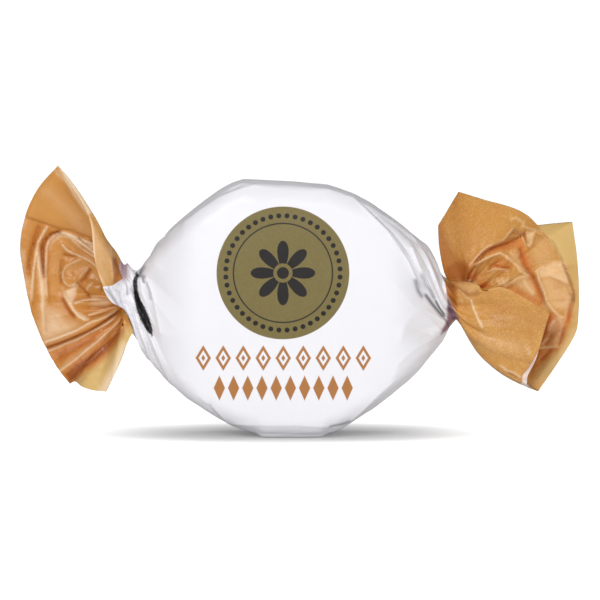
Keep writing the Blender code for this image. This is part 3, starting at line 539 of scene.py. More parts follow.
# The single layers at the backs of the tails, where the light that comes through is painted as paler gold.
LEFT_LOBES = (
    (0.9, 0.9, (
        (-38.1, 8.2), (-36.8, 9.6), (-35.2, 10.8), (-33.4, 11.9), (-31.7, 13.4), (-30.3, 15), (-29.2, 16.9),
        (-28.2, 19.9), (-26.1, 19.9), (-26.1, 17.1), (-27.6, 14.5), (-29.5, 10.6), (-30.8, 6.7),
        (-34.7, 6.7),
    )),
)
RIGHT_LOBES = (
    (0.9, 0.3, (
        (41.6, 35.4), (43.5, 33.2), (45, 31.3), (45.9, 29), (47.1, 26.1), (48, 23.6), (51.6, 23.6),
        (51.6, 37.4), (41.9, 37.4),
    )),
    (0.8, 0.9, (
        (45.4, 14.3), (43.9, 12.8), (42.2, 10.8), (40.5, 8.7), (41.8, 4.9), (44.6, 6.4), (50, 15.6),
        (50, 24.7), (47.8, 24.7), (48, 20.1), (46.9, 16.5),
    )),
)

# Where print stops and starts, as (x, z) in mm seen from the front.
LEFT_WHITE = (
    (-32.2, 25.3), (-30.4, 25.5), (-28.7, 26.6), (-29.3, 28.2), (-29.2, 31), (-25, 31), (-25, 15.9),
    (-26.8, 16.1), (-27, 17.8), (-27.6, 19.7), (-28.5, 21.5), (-30.7, 22.6), (-31.3, 23.4),
)
NECK_MARK = (
    (-27.3, 28.2), (-26.6, 27.6), (-26.4, 27.1), (-26.7, 26.2), (-26.6, 24.6), (-26.3, 23.1), (-25.6, 21.2),
    (-24.8, 19.4), (-24, 17.7), (-23.75, 17.1),
)
# How far along the black stroke, 0 to 1, and its half width in mm there.
MARK_HALF_WIDTH = (
    (0.0, 0.08, 0.2, 0.45, 0.6, 0.78, 0.92, 1.0),
    (0.16, 0.26, 0.48, 0.58, 0.88, 0.88, 0.65, 0.25),
)
CURLED_EDGE = (
    (42.1, 15.4), (41.3, 14.2), (40.65, 12.9), (40.2, 12.2), (39.8, 11.4), (39.3, 10.8), (38.9, 10.2),
    (38.8, 9.5), (38.7, 7.5), (39.9, 7.5), (40.2, 10), (41, 12), (42.3, 14.6),
)
# The painted mauve shade at the foot of the right neck, as (x, z) in mm.
RIGHT_MAUVE_SHADE = (
    (26.06, 23.9), (26.35, 23.2), (26.98, 22.1), (27.66, 20.7), (28.2, 19.6), (27.2, 19), (26.2, 17.8),
    (25, 17), (25.2, 18), (25.7, 18.7), (26.06, 19.6), (26.06, 21), (26.2, 22.7),
)
# Where the gold begins on the right of the body: heights, and x at each of them.
RIGHT_GOLD = ((19.6, 23.9, 25.8), (28.2, 26.06, 25.75))
# The painted mauve shade at the necks: how strong it is, and the heights between which it sets in on the
# left.
LEFT_MAUVE_SHADE_SHARE = 0.75
LEFT_MAUVE_SHADE_FROM = (25.2, 27.4)
RIGHT_MAUVE_SHADE_SHARE = 0.9

# How finely the skins are cut, and how much closer the body's rings are by the necks.
COLUMNS = 576
BODY_RINGS = 164
OUTER_RINGS = 58
INNER_RINGS = 108
NECK_DENSITY = 1.6
NECK_ZONE = 6.0
# How far a fold's facets reach in mm, how sharply they meet, and how blunt their crests are.
FACET_SPAN = 3.0
FACET_POWER = 1.3
CREST_BLUNT = 0.05
# Crease lines: the width in mm of a painted highlight, and of a painted shade beside folds higher
# than given. They fade over the last part of their line.
HIGHLIGHT_LINE_WIDTH = 0.18
SHADE_LINE_WIDTHS = ((0.35, 0.36), (0.15, 0.22))
SHADE_LINE_WIDTH_LEAST = 0.13
CREASE_FADE = 0.12
OVERLAP_EDGE = 0.12
# The turns, in radians, the warp and the mean of the crumples' cells.
CRUMPLE_ANGLES = (0.7, 1.9, 0.4)
CRUMPLE_WARP = 0.45
CRUMPLE_MEAN = 0.38
# Keeps the warp of the crumples the same each time.
NOISE_SEED = 1
# The share of the UV map's height that is left below the rings, and the two caps in it.
CAP_STRIP = 0.03
CAP_ROWS = (0.002, 0.015)
CAP_HEIGHT = 0.01

# The studio, in metres, degrees and watts. The floor glows less in an oval below the object, a
# painted shadow given in mm. A lamp has a name, a place, a size and a power.
FLOOR_REACH = 4.0
FLOOR_LEVEL = -0.0002
FLOOR_GLOW = 0.14
FLOOR_SHADOW = {"x": -0.9, "y": 4.0, "half_width": 37.4, "half_depth": 23.2}
WORLD_LIGHT = 0.15
WORLD_SEEN = 1.05
LAMPS = (
    ("key", (-0.25, -0.7, 0.3), 0.3, 2.85),
    ("fill", (0.35, -0.7, 0.2), 0.5, 1.9),
    ("top", (0.0, 0.14, 0.8), 0.5, 1.45),
)
LAMP_TARGET = (0.0, 0.0, 0.022)
VIEW_CENTRE = (0.0012, 0.0, 0.0228)
VIEW_WIDTH = 0.102
CAMERA_ELEVATION = 3.0
CAMERA_DISTANCE = 0.6
SENSOR_WIDTH = 36.0
CAMERA_LENS = SENSOR_WIDTH * CAMERA_DISTANCE / VIEW_WIDTH


def smooth_step(value, low, high):
    """0 below low, 1 above high, and a smooth rise between them."""
    share = np.clip((value - low) / (high - low), 0.0, 1.0)
    return share * share * (3.0 - 2.0 * share)


def bell(value, width):
    """1 at 0, falling smoothly to almost 0 at twice the width on either side."""
    return np.exp(-((value / width) ** 2))


def quarter_section(share, half_depth, half_height, radius):
    """Point and normal on a quarter of a rounded rectangle, from its top to its back."""
    flat_top = half_depth - radius
    flat_back = half_height - radius
    corner = math.pi / 2.0 * radius
    along = share * (flat_top + corner + flat_back)
    angle = np.clip((along - flat_top) / radius, 0.0, math.pi / 2.0)
    normal = np.stack([np.sin(angle), np.cos(angle)], axis=-1)
    depth = np.minimum(along, flat_top) + radius * np.sin(angle)
    height = flat_back + radius * np.cos(angle)
    height = height - np.maximum(along - flat_top - corner, 0.0)
    on_top = np.clip(1.0 - (along / flat_top) ** 2, 0.0, 1.0) * SIDE_CROWN
    on_back = np.clip(1.0 - (height / flat_back) ** 2, 0.0, 1.0) * FACE_CROWN
    on_back = np.where(angle >= math.pi / 2.0, on_back, 0.0)
    crown = (on_top * (along < flat_top) + on_back) * smooth_step(half_height, *CROWN_RISE)
    return np.stack([depth, height], axis=-1) + normal * crown[..., None], normal


def section(around, half_depth, half_height, radius):
    """Points (y, z) and normals round rounded rectangles, at fractions of the way round."""
    turn = (around % 1.0) * 4.0
    quarter = np.minimum(turn.astype(int), 3)
    share = turn - quarter
    share = np.where(quarter % 2 == 0, share, 1.0 - share)
    point, normal = quarter_section(share, half_depth, half_height, radius)
    signs = np.array([(1, 1), (1, -1), (-1, -1), (-1, 1)])[quarter]
    return point * signs, normal * signs


def triangle_wave(turns):
    """A wave between -1 and 1 with sharp crests, once a turn."""
    return 4.0 * np.abs((turns % 1.0) - 0.5) - 1.0


def pleats(column, count):
    """Uneven pleats round a ring, between about -1 and 1. They close on themselves."""
    full = 2.0 * math.pi * column
    uneven = 0.028 * np.sin(2.0 * full + 0.7) + 0.017 * np.sin(5.0 * full + 2.1)
    height = 0.72 + 0.28 * np.sin(3.0 * full + 1.3)
    return triangle_wave(count * (column + uneven)) * height


def nearest_on_line(x, z, points):
    """Distance to a line, which side of it (1 is left) and how far along it, 0 to 1."""
    line = np.array(points)
    run = np.diff(line, axis=0)
    length = np.hypot(run[:, 0], run[:, 1])
    start = np.concatenate([[0.0], np.cumsum(length)])
    best = np.full(np.shape(x), 1e9)
    side = np.zeros(np.shape(x))
    along = np.zeros(np.shape(x))
    for index, (dx, dz) in enumerate(run):
        rel_x = x - line[index, 0]
        rel_z = z - line[index, 1]
        share = np.clip((rel_x * dx + rel_z * dz) / length[index] ** 2, 0.0, 1.0)
        away = np.hypot(rel_x - share * dx, rel_z - share * dz)
        nearer = away < best
        best = np.where(nearer, away, best)
        side = np.where(nearer, np.sign(dx * rel_z - dz * rel_x), side)
        along = np.where(nearer, start[index] + share * length[index], along)
    return best, side, along / start[-1]


def shade_line_width(rise):
    """How wide in mm the dark crease beside a fold of that height is."""
    for height, width in SHADE_LINE_WIDTHS:
        if abs(rise) > height:
            return width
    return SHADE_LINE_WIDTH_LEAST


def fold_relief(x, z, folds):
    """How far creased folds lift the paper, flat facets between them, and the painted light and shade of
    the creases.
    """
    weights = np.full(np.shape(x), FACET_SPAN**-FACET_POWER)
    height = np.zeros(np.shape(x))
    light = np.zeros(np.shape(x))
    dark = np.zeros(np.shape(x))
    for rise, tone, points in folds:
        away, _, along = nearest_on_line(x, z, points)
        weight = (away + CREST_BLUNT) ** -FACET_POWER
        weights = weights + weight
        height = height + rise * weight
        # Painted highlight along creases whose tone is above 0, painted shade along those below it.
        faded = tone * smooth_step(1.0 - along, 0.0, CREASE_FADE)
        if tone > 0.0:
            light = np.maximum(light, faded * bell(away, HIGHLIGHT_LINE_WIDTH))
        elif tone < 0.0:
            dark = np.maximum(dark, -faded * bell(away, shade_line_width(rise)))
    return height / weights, light, dark


def overlap_relief(x, z, overlaps):
    """The steps in mm where one layer of paper lies over another."""
    total = np.zeros(np.shape(x))
    for step, reach, points in overlaps:
        away, side, along = nearest_on_line(x, z, points)
        fade = smooth_step(along, 0.0, 0.1) * (1.0 - smooth_step(along, 0.88, 1.0))
        total = total + step * fade * np.tanh(side * away / OVERLAP_EDGE) * bell(away, reach)
    return total


def outline_distance(x, z, outline):
    """Signed distance to a closed outline, positive inside."""
    ring = tuple(outline) + (outline[0],)
    away = nearest_on_line(x, z, ring)[0]
    inside = np.zeros(np.shape(x), dtype=bool)
    for (x0, z0), (x1, z1) in zip(ring, ring[1:]):
        if z0 != z1:
            crosses = (z0 > z) != (z1 > z)
            inside ^= crosses & (x < (x1 - x0) * (z - z0) / (z1 - z0) + x0)
    return np.where(inside, away, -away)


def crumple(points, size, seed):
    """Crumpled paper, about -0.4 to 0.4: low peaks with flat sides and sharp creases between."""
    turned = points / size
    for axis, angle in enumerate(CRUMPLE_ANGLES):
        first, second = (axis + 1) % 3, (axis + 2) % 3
        cosine, sine = math.cos(angle + seed), math.sin(angle + seed)
        a, b = turned[..., first].copy(), turned[..., second].copy()
        turned[..., first] = cosine * a - sine * b
        turned[..., second] = sine * a + cosine * b
    found = []
    for place in turned.reshape(-1, 3).tolist():
        place = Vector(place)
        place += CRUMPLE_WARP * noise.noise_vector(place * 0.8)
        found.append(noise.voronoi(place, distance_metric="CHEBYCHEV")[0][0])
    return np.array(found).reshape(points.shape[:-1]) - CRUMPLE_MEAN


def rounded_outline(points):
    """Places along x and an outline's heights there, with its corners a little rounded."""
    places, heights = np.array(points).T
    fine = np.linspace(-OUTLINE_END, OUTLINE_END, round(2.0 * OUTLINE_END / OUTLINE_STEP) + 1)
    reach = 30
    weights = bell(np.arange(-reach, reach + 1) * OUTLINE_STEP, OUTLINE_ROUNDING)
    line = np.pad(np.interp(fine, places, heights), reach, mode="edge")
    return fine, np.convolve(line, weights / weights.sum(), mode="valid")


TOP_LINE = rounded_outline(BODY_TOP)
FOOT_LINE = rounded_outline(BODY_FOOT)


def body_sizes(x):
    """Centre height, half height, half depth and edge radius of the body's section at x."""
    top = np.interp(x, *TOP_LINE)
    foot = np.interp(x, *FOOT_LINE)
    half_height = (top - foot) / 2.0
    half_height = half_height - SIDE_CROWN * smooth_step(half_height, *CROWN_RISE)
    neck_depth = np.where(x < 0.0, LEFT_NECK["half_depth"], RIGHT_NECK["half_depth"])
    neck_at = np.where(x < 0.0, -LEFT_NECK["x"], RIGHT_NECK["x"])
    slope = (BODY_HALF_DEPTH - neck_depth) / (neck_at - SHOULDER_AT)
    past = SHOULDER_BLEND * np.log1p(np.exp((np.abs(x) - SHOULDER_AT) / SHOULDER_BLEND))
    half_depth = np.maximum(BODY_HALF_DEPTH - slope * past, neck_depth)
    radius = np.minimum(EDGE_RADIUS, MOST_ROUNDED * np.minimum(half_depth, half_height))
    return (top + foot) / 2.0, half_height, half_depth, radius


def twist_table():
    """Places along x and how far the columns have turned there, in turns, 0 at x = 0."""
    left_end = LEFT_NECK["x"] - LEFT_NECK["reach"]
    right_end = RIGHT_NECK["x"] + RIGHT_NECK["reach"]
    places = np.linspace(left_end, right_end, TWIST_SAMPLES)
    _, half_height, half_depth, _ = body_sizes(places)
    girth = half_height + half_depth
    from_neck = np.minimum(places - LEFT_NECK["x"], RIGHT_NECK["x"] - places)
    slope = (1.0 - smooth_step(from_neck, TWIST_START, TWIST_LENGTH)) / girth
    turned = np.concatenate([[0.0], np.cumsum(0.5 * (slope[1:] + slope[:-1]) * np.diff(places))])
    turned = turned - np.interp(0.0, places, turned)
    return places, np.where(turned < 0.0, turned / -turned[0], turned / turned[-1]) * TWIST_TURNS


TWIST_PLACES, TWIST_TURNED = twist_table()


def twist(x):
    """How far the columns have turned at x, in turns. They turn near the two necks."""
    return np.interp(x, TWIST_PLACES, TWIST_TURNED)


def body_rings(x, column, bump=NECK_BUMP):
    """Rings of the body or of a neck, one for each place in x, and the painted light and shade of their
    folds.
    """
    x = np.asarray(x, dtype=float)[:, None]
    centre, half_height, half_depth, radius = body_sizes(x)
    point, normal = section(column - twist(x), half_depth, half_height, radius)
    from_neck = np.maximum(np.minimum(x - LEFT_NECK["x"], RIGHT_NECK["x"] - x), 0.0)
    depth = NECK_PLEAT_DEPTH * (1.0 - smooth_step(from_neck, 0.0, PLEAT_LENGTH)) ** 1.6
    fine_depth = FINE_PLEAT_DEPTH * (1.0 - smooth_step(from_neck, 0.0, FINE_PLEAT_LENGTH))
    lift = depth * pleats(column, NECK_PLEATS) + fine_depth * pleats(column + 0.37, FINE_PLEATS)
    upper = smooth_step(normal[..., 1], 0.3, 0.95) * (1.0 - smooth_step(point[..., 0], 0.4, 1.8))
    lift = lift + bump * bell(x - NECK_BUMP_AT, NECK_BUMP_REACH) * upper
    height = centre + point[..., 1]
    place = np.broadcast_to(x, height.shape)
    on_body = smooth_step(half_height, 3.0, 7.0)
    front = smooth_step(-normal[..., 0], 0.05, 0.5)
    back = smooth_step(normal[..., 0], 0.05, 0.5)
    seen = np.where(normal[..., 0] < 0.0, place, -place)
    folds, light, dark = fold_relief(seen, height, BODY_FRONT_FOLDS)
    shown = front + back
    lift = lift + shown * folds
    whole = np.stack([place, point[..., 0], height], axis=-1)
    off_face = smooth_step(np.hypot(place, (height - FACE_MIDDLE) * FACE_OVAL), *FACE_EDGE)
    off_face = FACE_CRUMPLE + (1.0 - FACE_CRUMPLE) * np.maximum(off_face, 1.0 - shown)
    crumpled = crumple(whole * BODY_CRUMPLE_STRETCH, BODY_CRUMPLE_SIZE, 1.0)
    lift = lift + BODY_CRUMPLE * off_face * on_body * crumpled
    point = point + normal * lift[..., None]
    height = np.maximum(centre + point[..., 1], 0.0)
    rings = np.stack([place, point[..., 0], height], axis=-1)
    return rings, light * shown, dark * shown


def body_stations(first, last, count):
    """Places along x for the body's rings, close together by the necks."""
    fine = np.linspace(first, last, 2001)
    density = 1.0 + NECK_DENSITY * bell(fine - first, NECK_ZONE)
    density = density + NECK_DENSITY * bell(last - fine, NECK_ZONE)
    total = np.concatenate([[0.0], np.cumsum(0.5 * (density[1:] + density[:-1]))])
    return np.interp(np.linspace(0.0, total[-1], count), total, fine)


def spline(points, corners, shares):
    """Points on a closed curve through the given ones, at fractions of its chord length."""
    ahead = np.roll(points, -1, axis=0) - points
    behind = np.roll(ahead, 1, axis=0)
    smooth = 0.5 * (ahead + behind)
    leaving = np.where(corners[:, None], ahead, smooth)
    arriving = np.where(corners[:, None], behind, smooth)
    length = np.linalg.norm(ahead, axis=1)
    start = np.concatenate([[0.0], np.cumsum(length)[:-1]]) / length.sum()
    index = np.searchsorted(start, shares, side="right") - 1
    local = ((shares - start[index]) * length.sum() / length[index])[:, None]
    after = (index + 1) % len(points)
    square = local * local
    cube = square * local
    return (
        (2.0 * cube - 3.0 * square + 1.0) * points[index]
        + (cube - 2.0 * square + local) * leaving[index]
        + (3.0 * square - 2.0 * cube) * points[after]
        + (cube - square) * arriving[after]
    )


def rim_curve(rim, around):
    """The rim at each fraction round, with its corners exactly on the nearest of them."""
    points = np.array([(x, y, z) for x, z, y, _ in rim])
    corners = np.array([corner for _, _, _, corner in rim])
    length = np.linalg.norm(np.roll(points, -1, axis=0) - points, axis=1)
    start = np.concatenate([[0.0], np.cumsum(length)[:-1]]) / length.sum()
    steps = len(around)
    snapped = []
    for share in start[corners]:
        nearest = round(share * steps)
        snapped.append(max(nearest, snapped[-1] + 1) if snapped else nearest)
    knots = np.array(snapped + [snapped[0] + steps]) / steps
    values = np.append(start[corners], start[corners][0] + 1.0)
    shares = np.interp(around % 1.0, knots, values)
    return spline(points, corners, np.clip(shares, 0.0, 1.0 - 1e-9))


def ring_normals(rings):
    """Outward unit normals of a grid of rings, from the differences between neighbours."""
    along = np.gradient(rings, axis=0)
    about = np.roll(rings, -1, axis=1) - np.roll(rings, 1, axis=1)
    normal = np.cross(along, about)
    return normal / np.maximum(np.linalg.norm(normal, axis=2, keepdims=True), 1e-9)


def funnel_sweep(tail, column, count):
    """Smooth rings from a neck to its rim, and for each column its length and how far back it is.

    The rings come with their share of the way to the rim. Each column is a curve that leaves the
    neck along the funnel's axis.
    """
    side, neck = tail["side"], tail["neck"]
    x_end = neck["x"] + side * neck["reach"]
    around = column - twist(x_end)
    start = body_rings([x_end], column, 0.0)[0][0]
    raised = body_rings([x_end], column)[0][0] - start
    edge = rim_curve(tail["rim"], around)
    reach = np.linalg.norm(edge - start, axis=1)[:, None]
    axis = np.array([side, AXIS_TILT, 0.0]) / math.hypot(1.0, AXIS_TILT)
    backward = np.cos(2.0 * math.pi * (around - 0.25))[:, None]
    belly = BELLY * backward * np.array([0.0, 1.0, 0.0])
    first = start + axis * reach * 0.28
    second = start + (edge - start) * 0.62 + belly * np.minimum(reach / 15.0, 1.0)
    for place, near_neck, half_way in tail["bulges"]:
        most = smooth_step(np.cos(2.0 * math.pi * (around - place)), 0.3, 1.0)[:, None] * reach
        first = first + most * np.array(near_neck)
        second = second + most * np.array(half_way)
    share = np.linspace(0.0, 1.0, count + 1)[:, None, None]
    rest = 1.0 - share
    rings = (
        rest**3 * start
        + 3.0 * rest**2 * share * first
        + 3.0 * rest * share**2 * second
        + share**3 * edge
        + bell(share * reach, NECK_BUMP_FADE) * raised
    )
    return rings, share[..., 0], reach.T, backward.T


def funnel_crumples(rings, share, backward, side, column):
    """How far pleats, waves and crumples lift a funnel's paper, in mm."""
    grow = smooth_step(share, 0.06, 0.3)
    pleated = 0.25 + 0.75 * smooth_step(backward, -0.2 - 0.3 * (side < 0.0), 0.3)
    fine = pleats(column, NECK_PLEATS)[None, :] * FUNNEL_PLEAT_DEPTH * grow * (1.15 - share) * pleated
    broad = pleats(column + 0.05, FUNNEL_WAVES)[None, :]
    broad = broad * FUNNEL_WAVE_DEPTH * share * (1.3 - share)
    x, z = rings[..., 0], rings[..., 2]
    if side < 0.0:
        flap = smooth_step(z, *LEFT_FLAP)
        rough = (1.0 - 0.8 * flap) * (0.4 + 0.6 * smooth_step(backward, -0.4, 0.2))
    else:
        from_middle = np.hypot(x - ROUGH_MIDDLE[0], z - ROUGH_MIDDLE[1])
        rough = 1.0 - smooth_step(from_middle, *ROUGH_EDGE)
        flap = smooth_step(z, *RIGHT_FLAP) * (1.0 - rough)
        rough = 0.3 + 0.7 * rough * smooth_step(backward, -0.4, 0.2)
    coarse, small = [height * crumple(rings, size, seed + side) for height, size, seed in CRUMPLES]
    return (fine + broad) * (1.0 - 0.85 * flap) + (coarse + small) * rough * grow


def funnel(tail, column, count):
    """Rings of a funnel's skin, the painted light and shade of its folds, and how much of it is the back.
    """
    rings, share, reach, backward = funnel_sweep(tail, column, count)
    width = np.minimum(reach / FUNNEL_FULL_WIDTH, 1.0)
    normal = ring_normals(rings) * tail["side"]
    lift = funnel_crumples(rings, share, backward, tail["side"], column)
    rings = rings + normal * (lift * width)[..., None]
    past_neck = smooth_step(share, 0.02, 0.16)
    on_back = smooth_step(backward, -0.1, 0.35) * past_neck
    on_front = smooth_step(-backward, -0.1, 0.35) * past_neck
    x, z = rings[..., 0], rings[..., 2]
    back, back_light, back_dark = fold_relief(x, z, tail["back_folds"])
    front, front_light, front_dark = fold_relief(x, z, tail["front_folds"])
    back = back + overlap_relief(x, z, tail["overlaps"])
    rings[..., 1] -= (on_back * back + on_front * front) * width
    light = on_back * back_light + on_front * front_light
    dark = on_back * back_dark + on_front * front_dark
    return rings, light, dark, on_back


def make_skin(name, rings, normals, upright, inner_from=None):
    """A closed smooth mesh over rings, capped by a point at each end.

    upright says whether the rings run so that the faces look outwards as they come. Faces from
    ring number inner_from on take the second material slot.
    """
    count, steps = rings.shape[:2]
    points = np.concatenate(
        [rings.reshape(-1, 3), [rings[0].mean(axis=0), rings[-1].mean(axis=0)]]
    )
    ring = np.arange(count - 1)[:, None] * steps
    step = np.arange(steps)[None, :]
    after = (step + 1) % steps
    quads = np.stack(
        np.broadcast_arrays(ring + step, ring + steps + step, ring + steps + after, ring + after),
        axis=-1,
    ).reshape(-1, 4)
    tip = count * steps
    last = (count - 1) * steps
    caps = [(tip, k, (k + 1) % steps) for k in range(steps)]
    caps += [(tip + 1, last + (k + 1) % steps, last + k) for k in range(steps)]
    faces = quads.tolist() + caps
    if not upright:
        faces = [face[::-1] for face in faces]
    mesh = bpy.data.meshes.new(name)
    mesh.from_pydata((points * MM).tolist(), [], faces)
    if inner_from is not None:
        slots = np.zeros(len(faces), dtype=np.int32)
        slots[inner_from * steps : (count - 1) * steps] = 1
        slots[count * steps :] = 1
        mesh.polygons.foreach_set("material_index", slots)
    mesh.shade_smooth()
    add_map(mesh, count, steps, upright)
    facing = THROAT_FACING * [1.0 if upright else -1.0, 1.0, 1.0]
    normals = np.concatenate([normals.reshape(-1, 3), [facing, facing]])
    mesh.normals_split_custom_set_from_vertices(normals.tolist())
    piece = bpy.data.objects.new(name, mesh)
    bpy.context.scene.collection.objects.link(piece)
    return piece


def add_map(mesh, count, steps, upright):
    """A UV map that unrolls the rings flat, with the end caps in a thin strip below."""
    layer = mesh.uv_layers.new(name="OFBake")
    column = np.arange(steps)[None, :] / steps * np.ones((count - 1, 1))
    rest = 1.0 - CAP_STRIP
    row = (np.arange(count - 1)[:, None] / (count - 1)) * rest + CAP_STRIP + np.zeros((1, steps))
    wide = 1.0 / steps
    tall = rest / (count - 1)
    corners = np.stack(
        [
            np.stack([column, row], axis=-1),
            np.stack([column, row + tall], axis=-1),
            np.stack([column + wide, row + tall], axis=-1),
            np.stack([column + wide, row], axis=-1),
        ],
        axis=2,
    ).reshape(-1, 4, 2)
    caps = np.zeros((2 * steps, 3, 2))
    k = np.arange(steps)
    for part, low in enumerate(CAP_ROWS):
        rows = slice(part * steps, (part + 1) * steps)
        caps[rows, 0] = np.stack([(k + 0.5) / steps, np.full(steps, low + CAP_HEIGHT)], axis=-1)
        caps[rows, 1] = np.stack([k / steps, np.full(steps, low)], axis=-1)
        caps[rows, 2] = np.stack([(k + 1.0) / steps, np.full(steps, low)], axis=-1)
    if not upright:
        corners = corners[:, ::-1]
        caps = caps[:, ::-1]
    flat = np.concatenate([corners.reshape(-1, 2), caps.reshape(-1, 2)])
    layer.data.foreach_set("uv", flat.astype(np.float32).ravel())


def add_value(piece, name, values):
    """A number at each point of the mesh, with the end rings' means at the two caps."""
    filled = np.concatenate([np.ravel(values), [np.mean(values[0]), np.mean(values[-1])]])
    layer = piece.data.attributes.new(name, "FLOAT", "POINT")
    layer.data.foreach_set("value", filled.astype(np.float32))


class Nodes:
    """Builds a material's nodes from short calls that return sockets."""

    def __init__(self, name):
        self.material = bpy.data.materials.new(name)
        self.material.use_nodes = True
        self.tree = self.material.node_tree
        self.shader = self.tree.nodes["Principled BSDF"]
        self.place = None

    def link(self, value, socket):
        """Sets a plain number or colour on the socket, or joins another socket to it."""
        if isinstance(value, (int, float)):
            socket.default_value = value
        elif isinstance(value, tuple):
            socket.default_value = (*value, 1.0) if len(socket.default_value) == 4 else value
        else:
            self.tree.links.new(value, socket)

    def math(self, operation, *values, clamp=False):
        node = self.tree.nodes.new("ShaderNodeMath")
        node.operation = operation
        node.use_clamp = clamp
        for value, socket in zip(values, node.inputs):
            self.link(value, socket)
        return node.outputs[0]

    def plus(self, first, second):
        return self.math("ADD", first, second)

    def minus(self, first, second):
        return self.math("SUBTRACT", first, second)

    def times(self, first, second):
        return self.math("MULTIPLY", first, second)

    def over(self, first, second):
        return self.math("DIVIDE", first, second)

    def larger(self, first, second):
        return self.math("MAXIMUM", first, second)

    def size(self, value):
        return self.math("ABSOLUTE", value)

    def squares(self, first, second):
        """The sum of two squares."""
        return self.plus(self.times(first, first), self.times(second, second))

    def attribute(self, name):
        """The number that the mesh holds under that name."""
        node = self.tree.nodes.new("ShaderNodeAttribute")
        node.attribute_name = name
        return node.outputs["Fac"]

    def millimetres(self):
        """x, y and z of the surface in mm, and the vector of them."""
        if self.place is None:
            coordinates = self.tree.nodes.new("ShaderNodeTexCoord")
            scale = self.tree.nodes.new("ShaderNodeVectorMath")
            scale.operation = "SCALE"
            scale.inputs["Scale"].default_value = 1000.0
            self.tree.links.new(coordinates.outputs["Object"], scale.inputs[0])
            split = self.tree.nodes.new("ShaderNodeSeparateXYZ")
            self.tree.links.new(scale.outputs[0], split.inputs[0])
            self.place = (*split.outputs, scale.outputs[0])
        return self.place

    def noise(self, size, detail=2.0, rough=0.5, stretch=None):
        """Soft noise from 0 to 1 with lumps of about that size in mm."""
        vector = self.millimetres()[3]
        if stretch:
            node = self.tree.nodes.new("ShaderNodeVectorMath")
            node.operation = "MULTIPLY"
            self.tree.links.new(vector, node.inputs[0])
            node.inputs[1].default_value = stretch
            vector = node.outputs[0]
        node = self.tree.nodes.new("ShaderNodeTexNoise")
        node.inputs["Scale"].default_value = 1.0 / size
        node.inputs["Detail"].default_value = detail
        node.inputs["Roughness"].default_value = rough
        self.tree.links.new(vector, node.inputs["Vector"])
        return node.outputs[0]

    def ramp(self, value, low, high, start=0.0, end=1.0):
        """A straight rise from start at low to end at high, flat outside."""
        node = self.tree.nodes.new("ShaderNodeMapRange")
        node.clamp = True
        self.link(value, node.inputs["Value"])
        node.inputs["From Min"].default_value = low
        node.inputs["From Max"].default_value = high
        node.inputs["To Min"].default_value = start
        node.inputs["To Max"].default_value = end
        return node.outputs[0]

    def under(self, value, limit, blur=0.04):
        """1 where value is under limit, 0 above it, with a thin soft edge."""
        return self.ramp(value, limit - blur, limit + blur, 1.0, 0.0)

    def mix(self, share, first, second):
        """The first colour at a share of 0, the second at 1."""
        node = self.tree.nodes.new("ShaderNodeMix")
        node.data_type = "RGBA"
        self.link(share, node.inputs["Factor"])
        self.link(first, node.inputs[6])
        self.link(second, node.inputs[7])
        return node.outputs[2]

    def bump(self, height, distance, strength=1.0, below=None):
        """A normal for relief of that height in mm, over the relief below it."""
        node = self.tree.nodes.new("ShaderNodeBump")
        node.inputs["Distance"].default_value = distance * MM
        node.inputs["Strength"].default_value = strength
        self.tree.links.new(height, node.inputs["Height"])
        if below is not None:
            self.tree.links.new(below, node.inputs["Normal"])
        return node.outputs[0]

    def finish(self, colour, roughness, normal=None, **plain):
        """Joins the looks to the shader. The names of plain inputs come with underscores."""
        self.link(colour, self.shader.inputs["Base Color"])
        self.link(roughness, self.shader.inputs["Roughness"])
        if normal is not None:
            self.link(normal, self.shader.inputs["Normal"])
        for name, value in plain.items():
            self.link(value, self.shader.inputs[name.replace("_", " ")])
        return self.material


def srgb(red, green, blue):
    """A colour given as it shows on a screen, 0 to 255, in linear light."""
    parts = []
    for value in (red, green, blue):
        value = value / 255.0
        parts.append(value / 12.92 if value <= 0.04045 else ((value + 0.055) / 1.055) ** 2.4)
    return tuple(parts)


WHITE = srgb(246, 245, 249)
WHITE_SHADE = srgb(243, 242, 247)
NECK_WHITE = srgb(226, 223, 230)
CREASE_PAINTED_SHADE = srgb(66, 60, 68)
OLIVE = srgb(128, 114, 65)
OLIVE_DEEP = srgb(117, 104, 56)
DARK_PRINT = srgb(14, 7, 4)
COPPER = srgb(180, 119, 62)
MARK_BLACK = srgb(16, 12, 15)
MARK_WORN = srgb(150, 144, 148)
MAUVE_PAINTED_SHADE = srgb(132, 82, 98)
GOLD_OUT = srgb(216, 158, 80)
GOLD_OUT_DEEP = srgb(200, 138, 62)
GOLD_IN = srgb(213, 152, 76)
GOLD_IN_DEEP = srgb(200, 133, 58)
GOLD_PAINTED_HIGHLIGHT = srgb(252, 225, 188)
PEACH_PAINTED_HIGHLIGHT = srgb(254, 216, 166)
GOLD_PAINTED_SHADE = srgb(140, 68, 20)
RED_PAINTED_SHADE = srgb(178, 84, 42)
BROWN_PAINTED_SHADE_AND_PITS = srgb(156, 82, 24)
RED_PAINTED_SHADE_AND_PITS = srgb(214, 106, 46)
ORANGE_PAINTED_SHADE_AND_PITS = srgb(196, 110, 44)
CURL_PINK = srgb(238, 212, 198)
CURL_WHITE = srgb(248, 230, 220)
GOLD_FLAP = srgb(212, 158, 82)
GOLD_FLAP_DEEP = srgb(199, 138, 64)
GOLD_PAINTED_THROUGH_LIGHT = srgb(219, 186, 120)
FLECK = srgb(246, 214, 158)

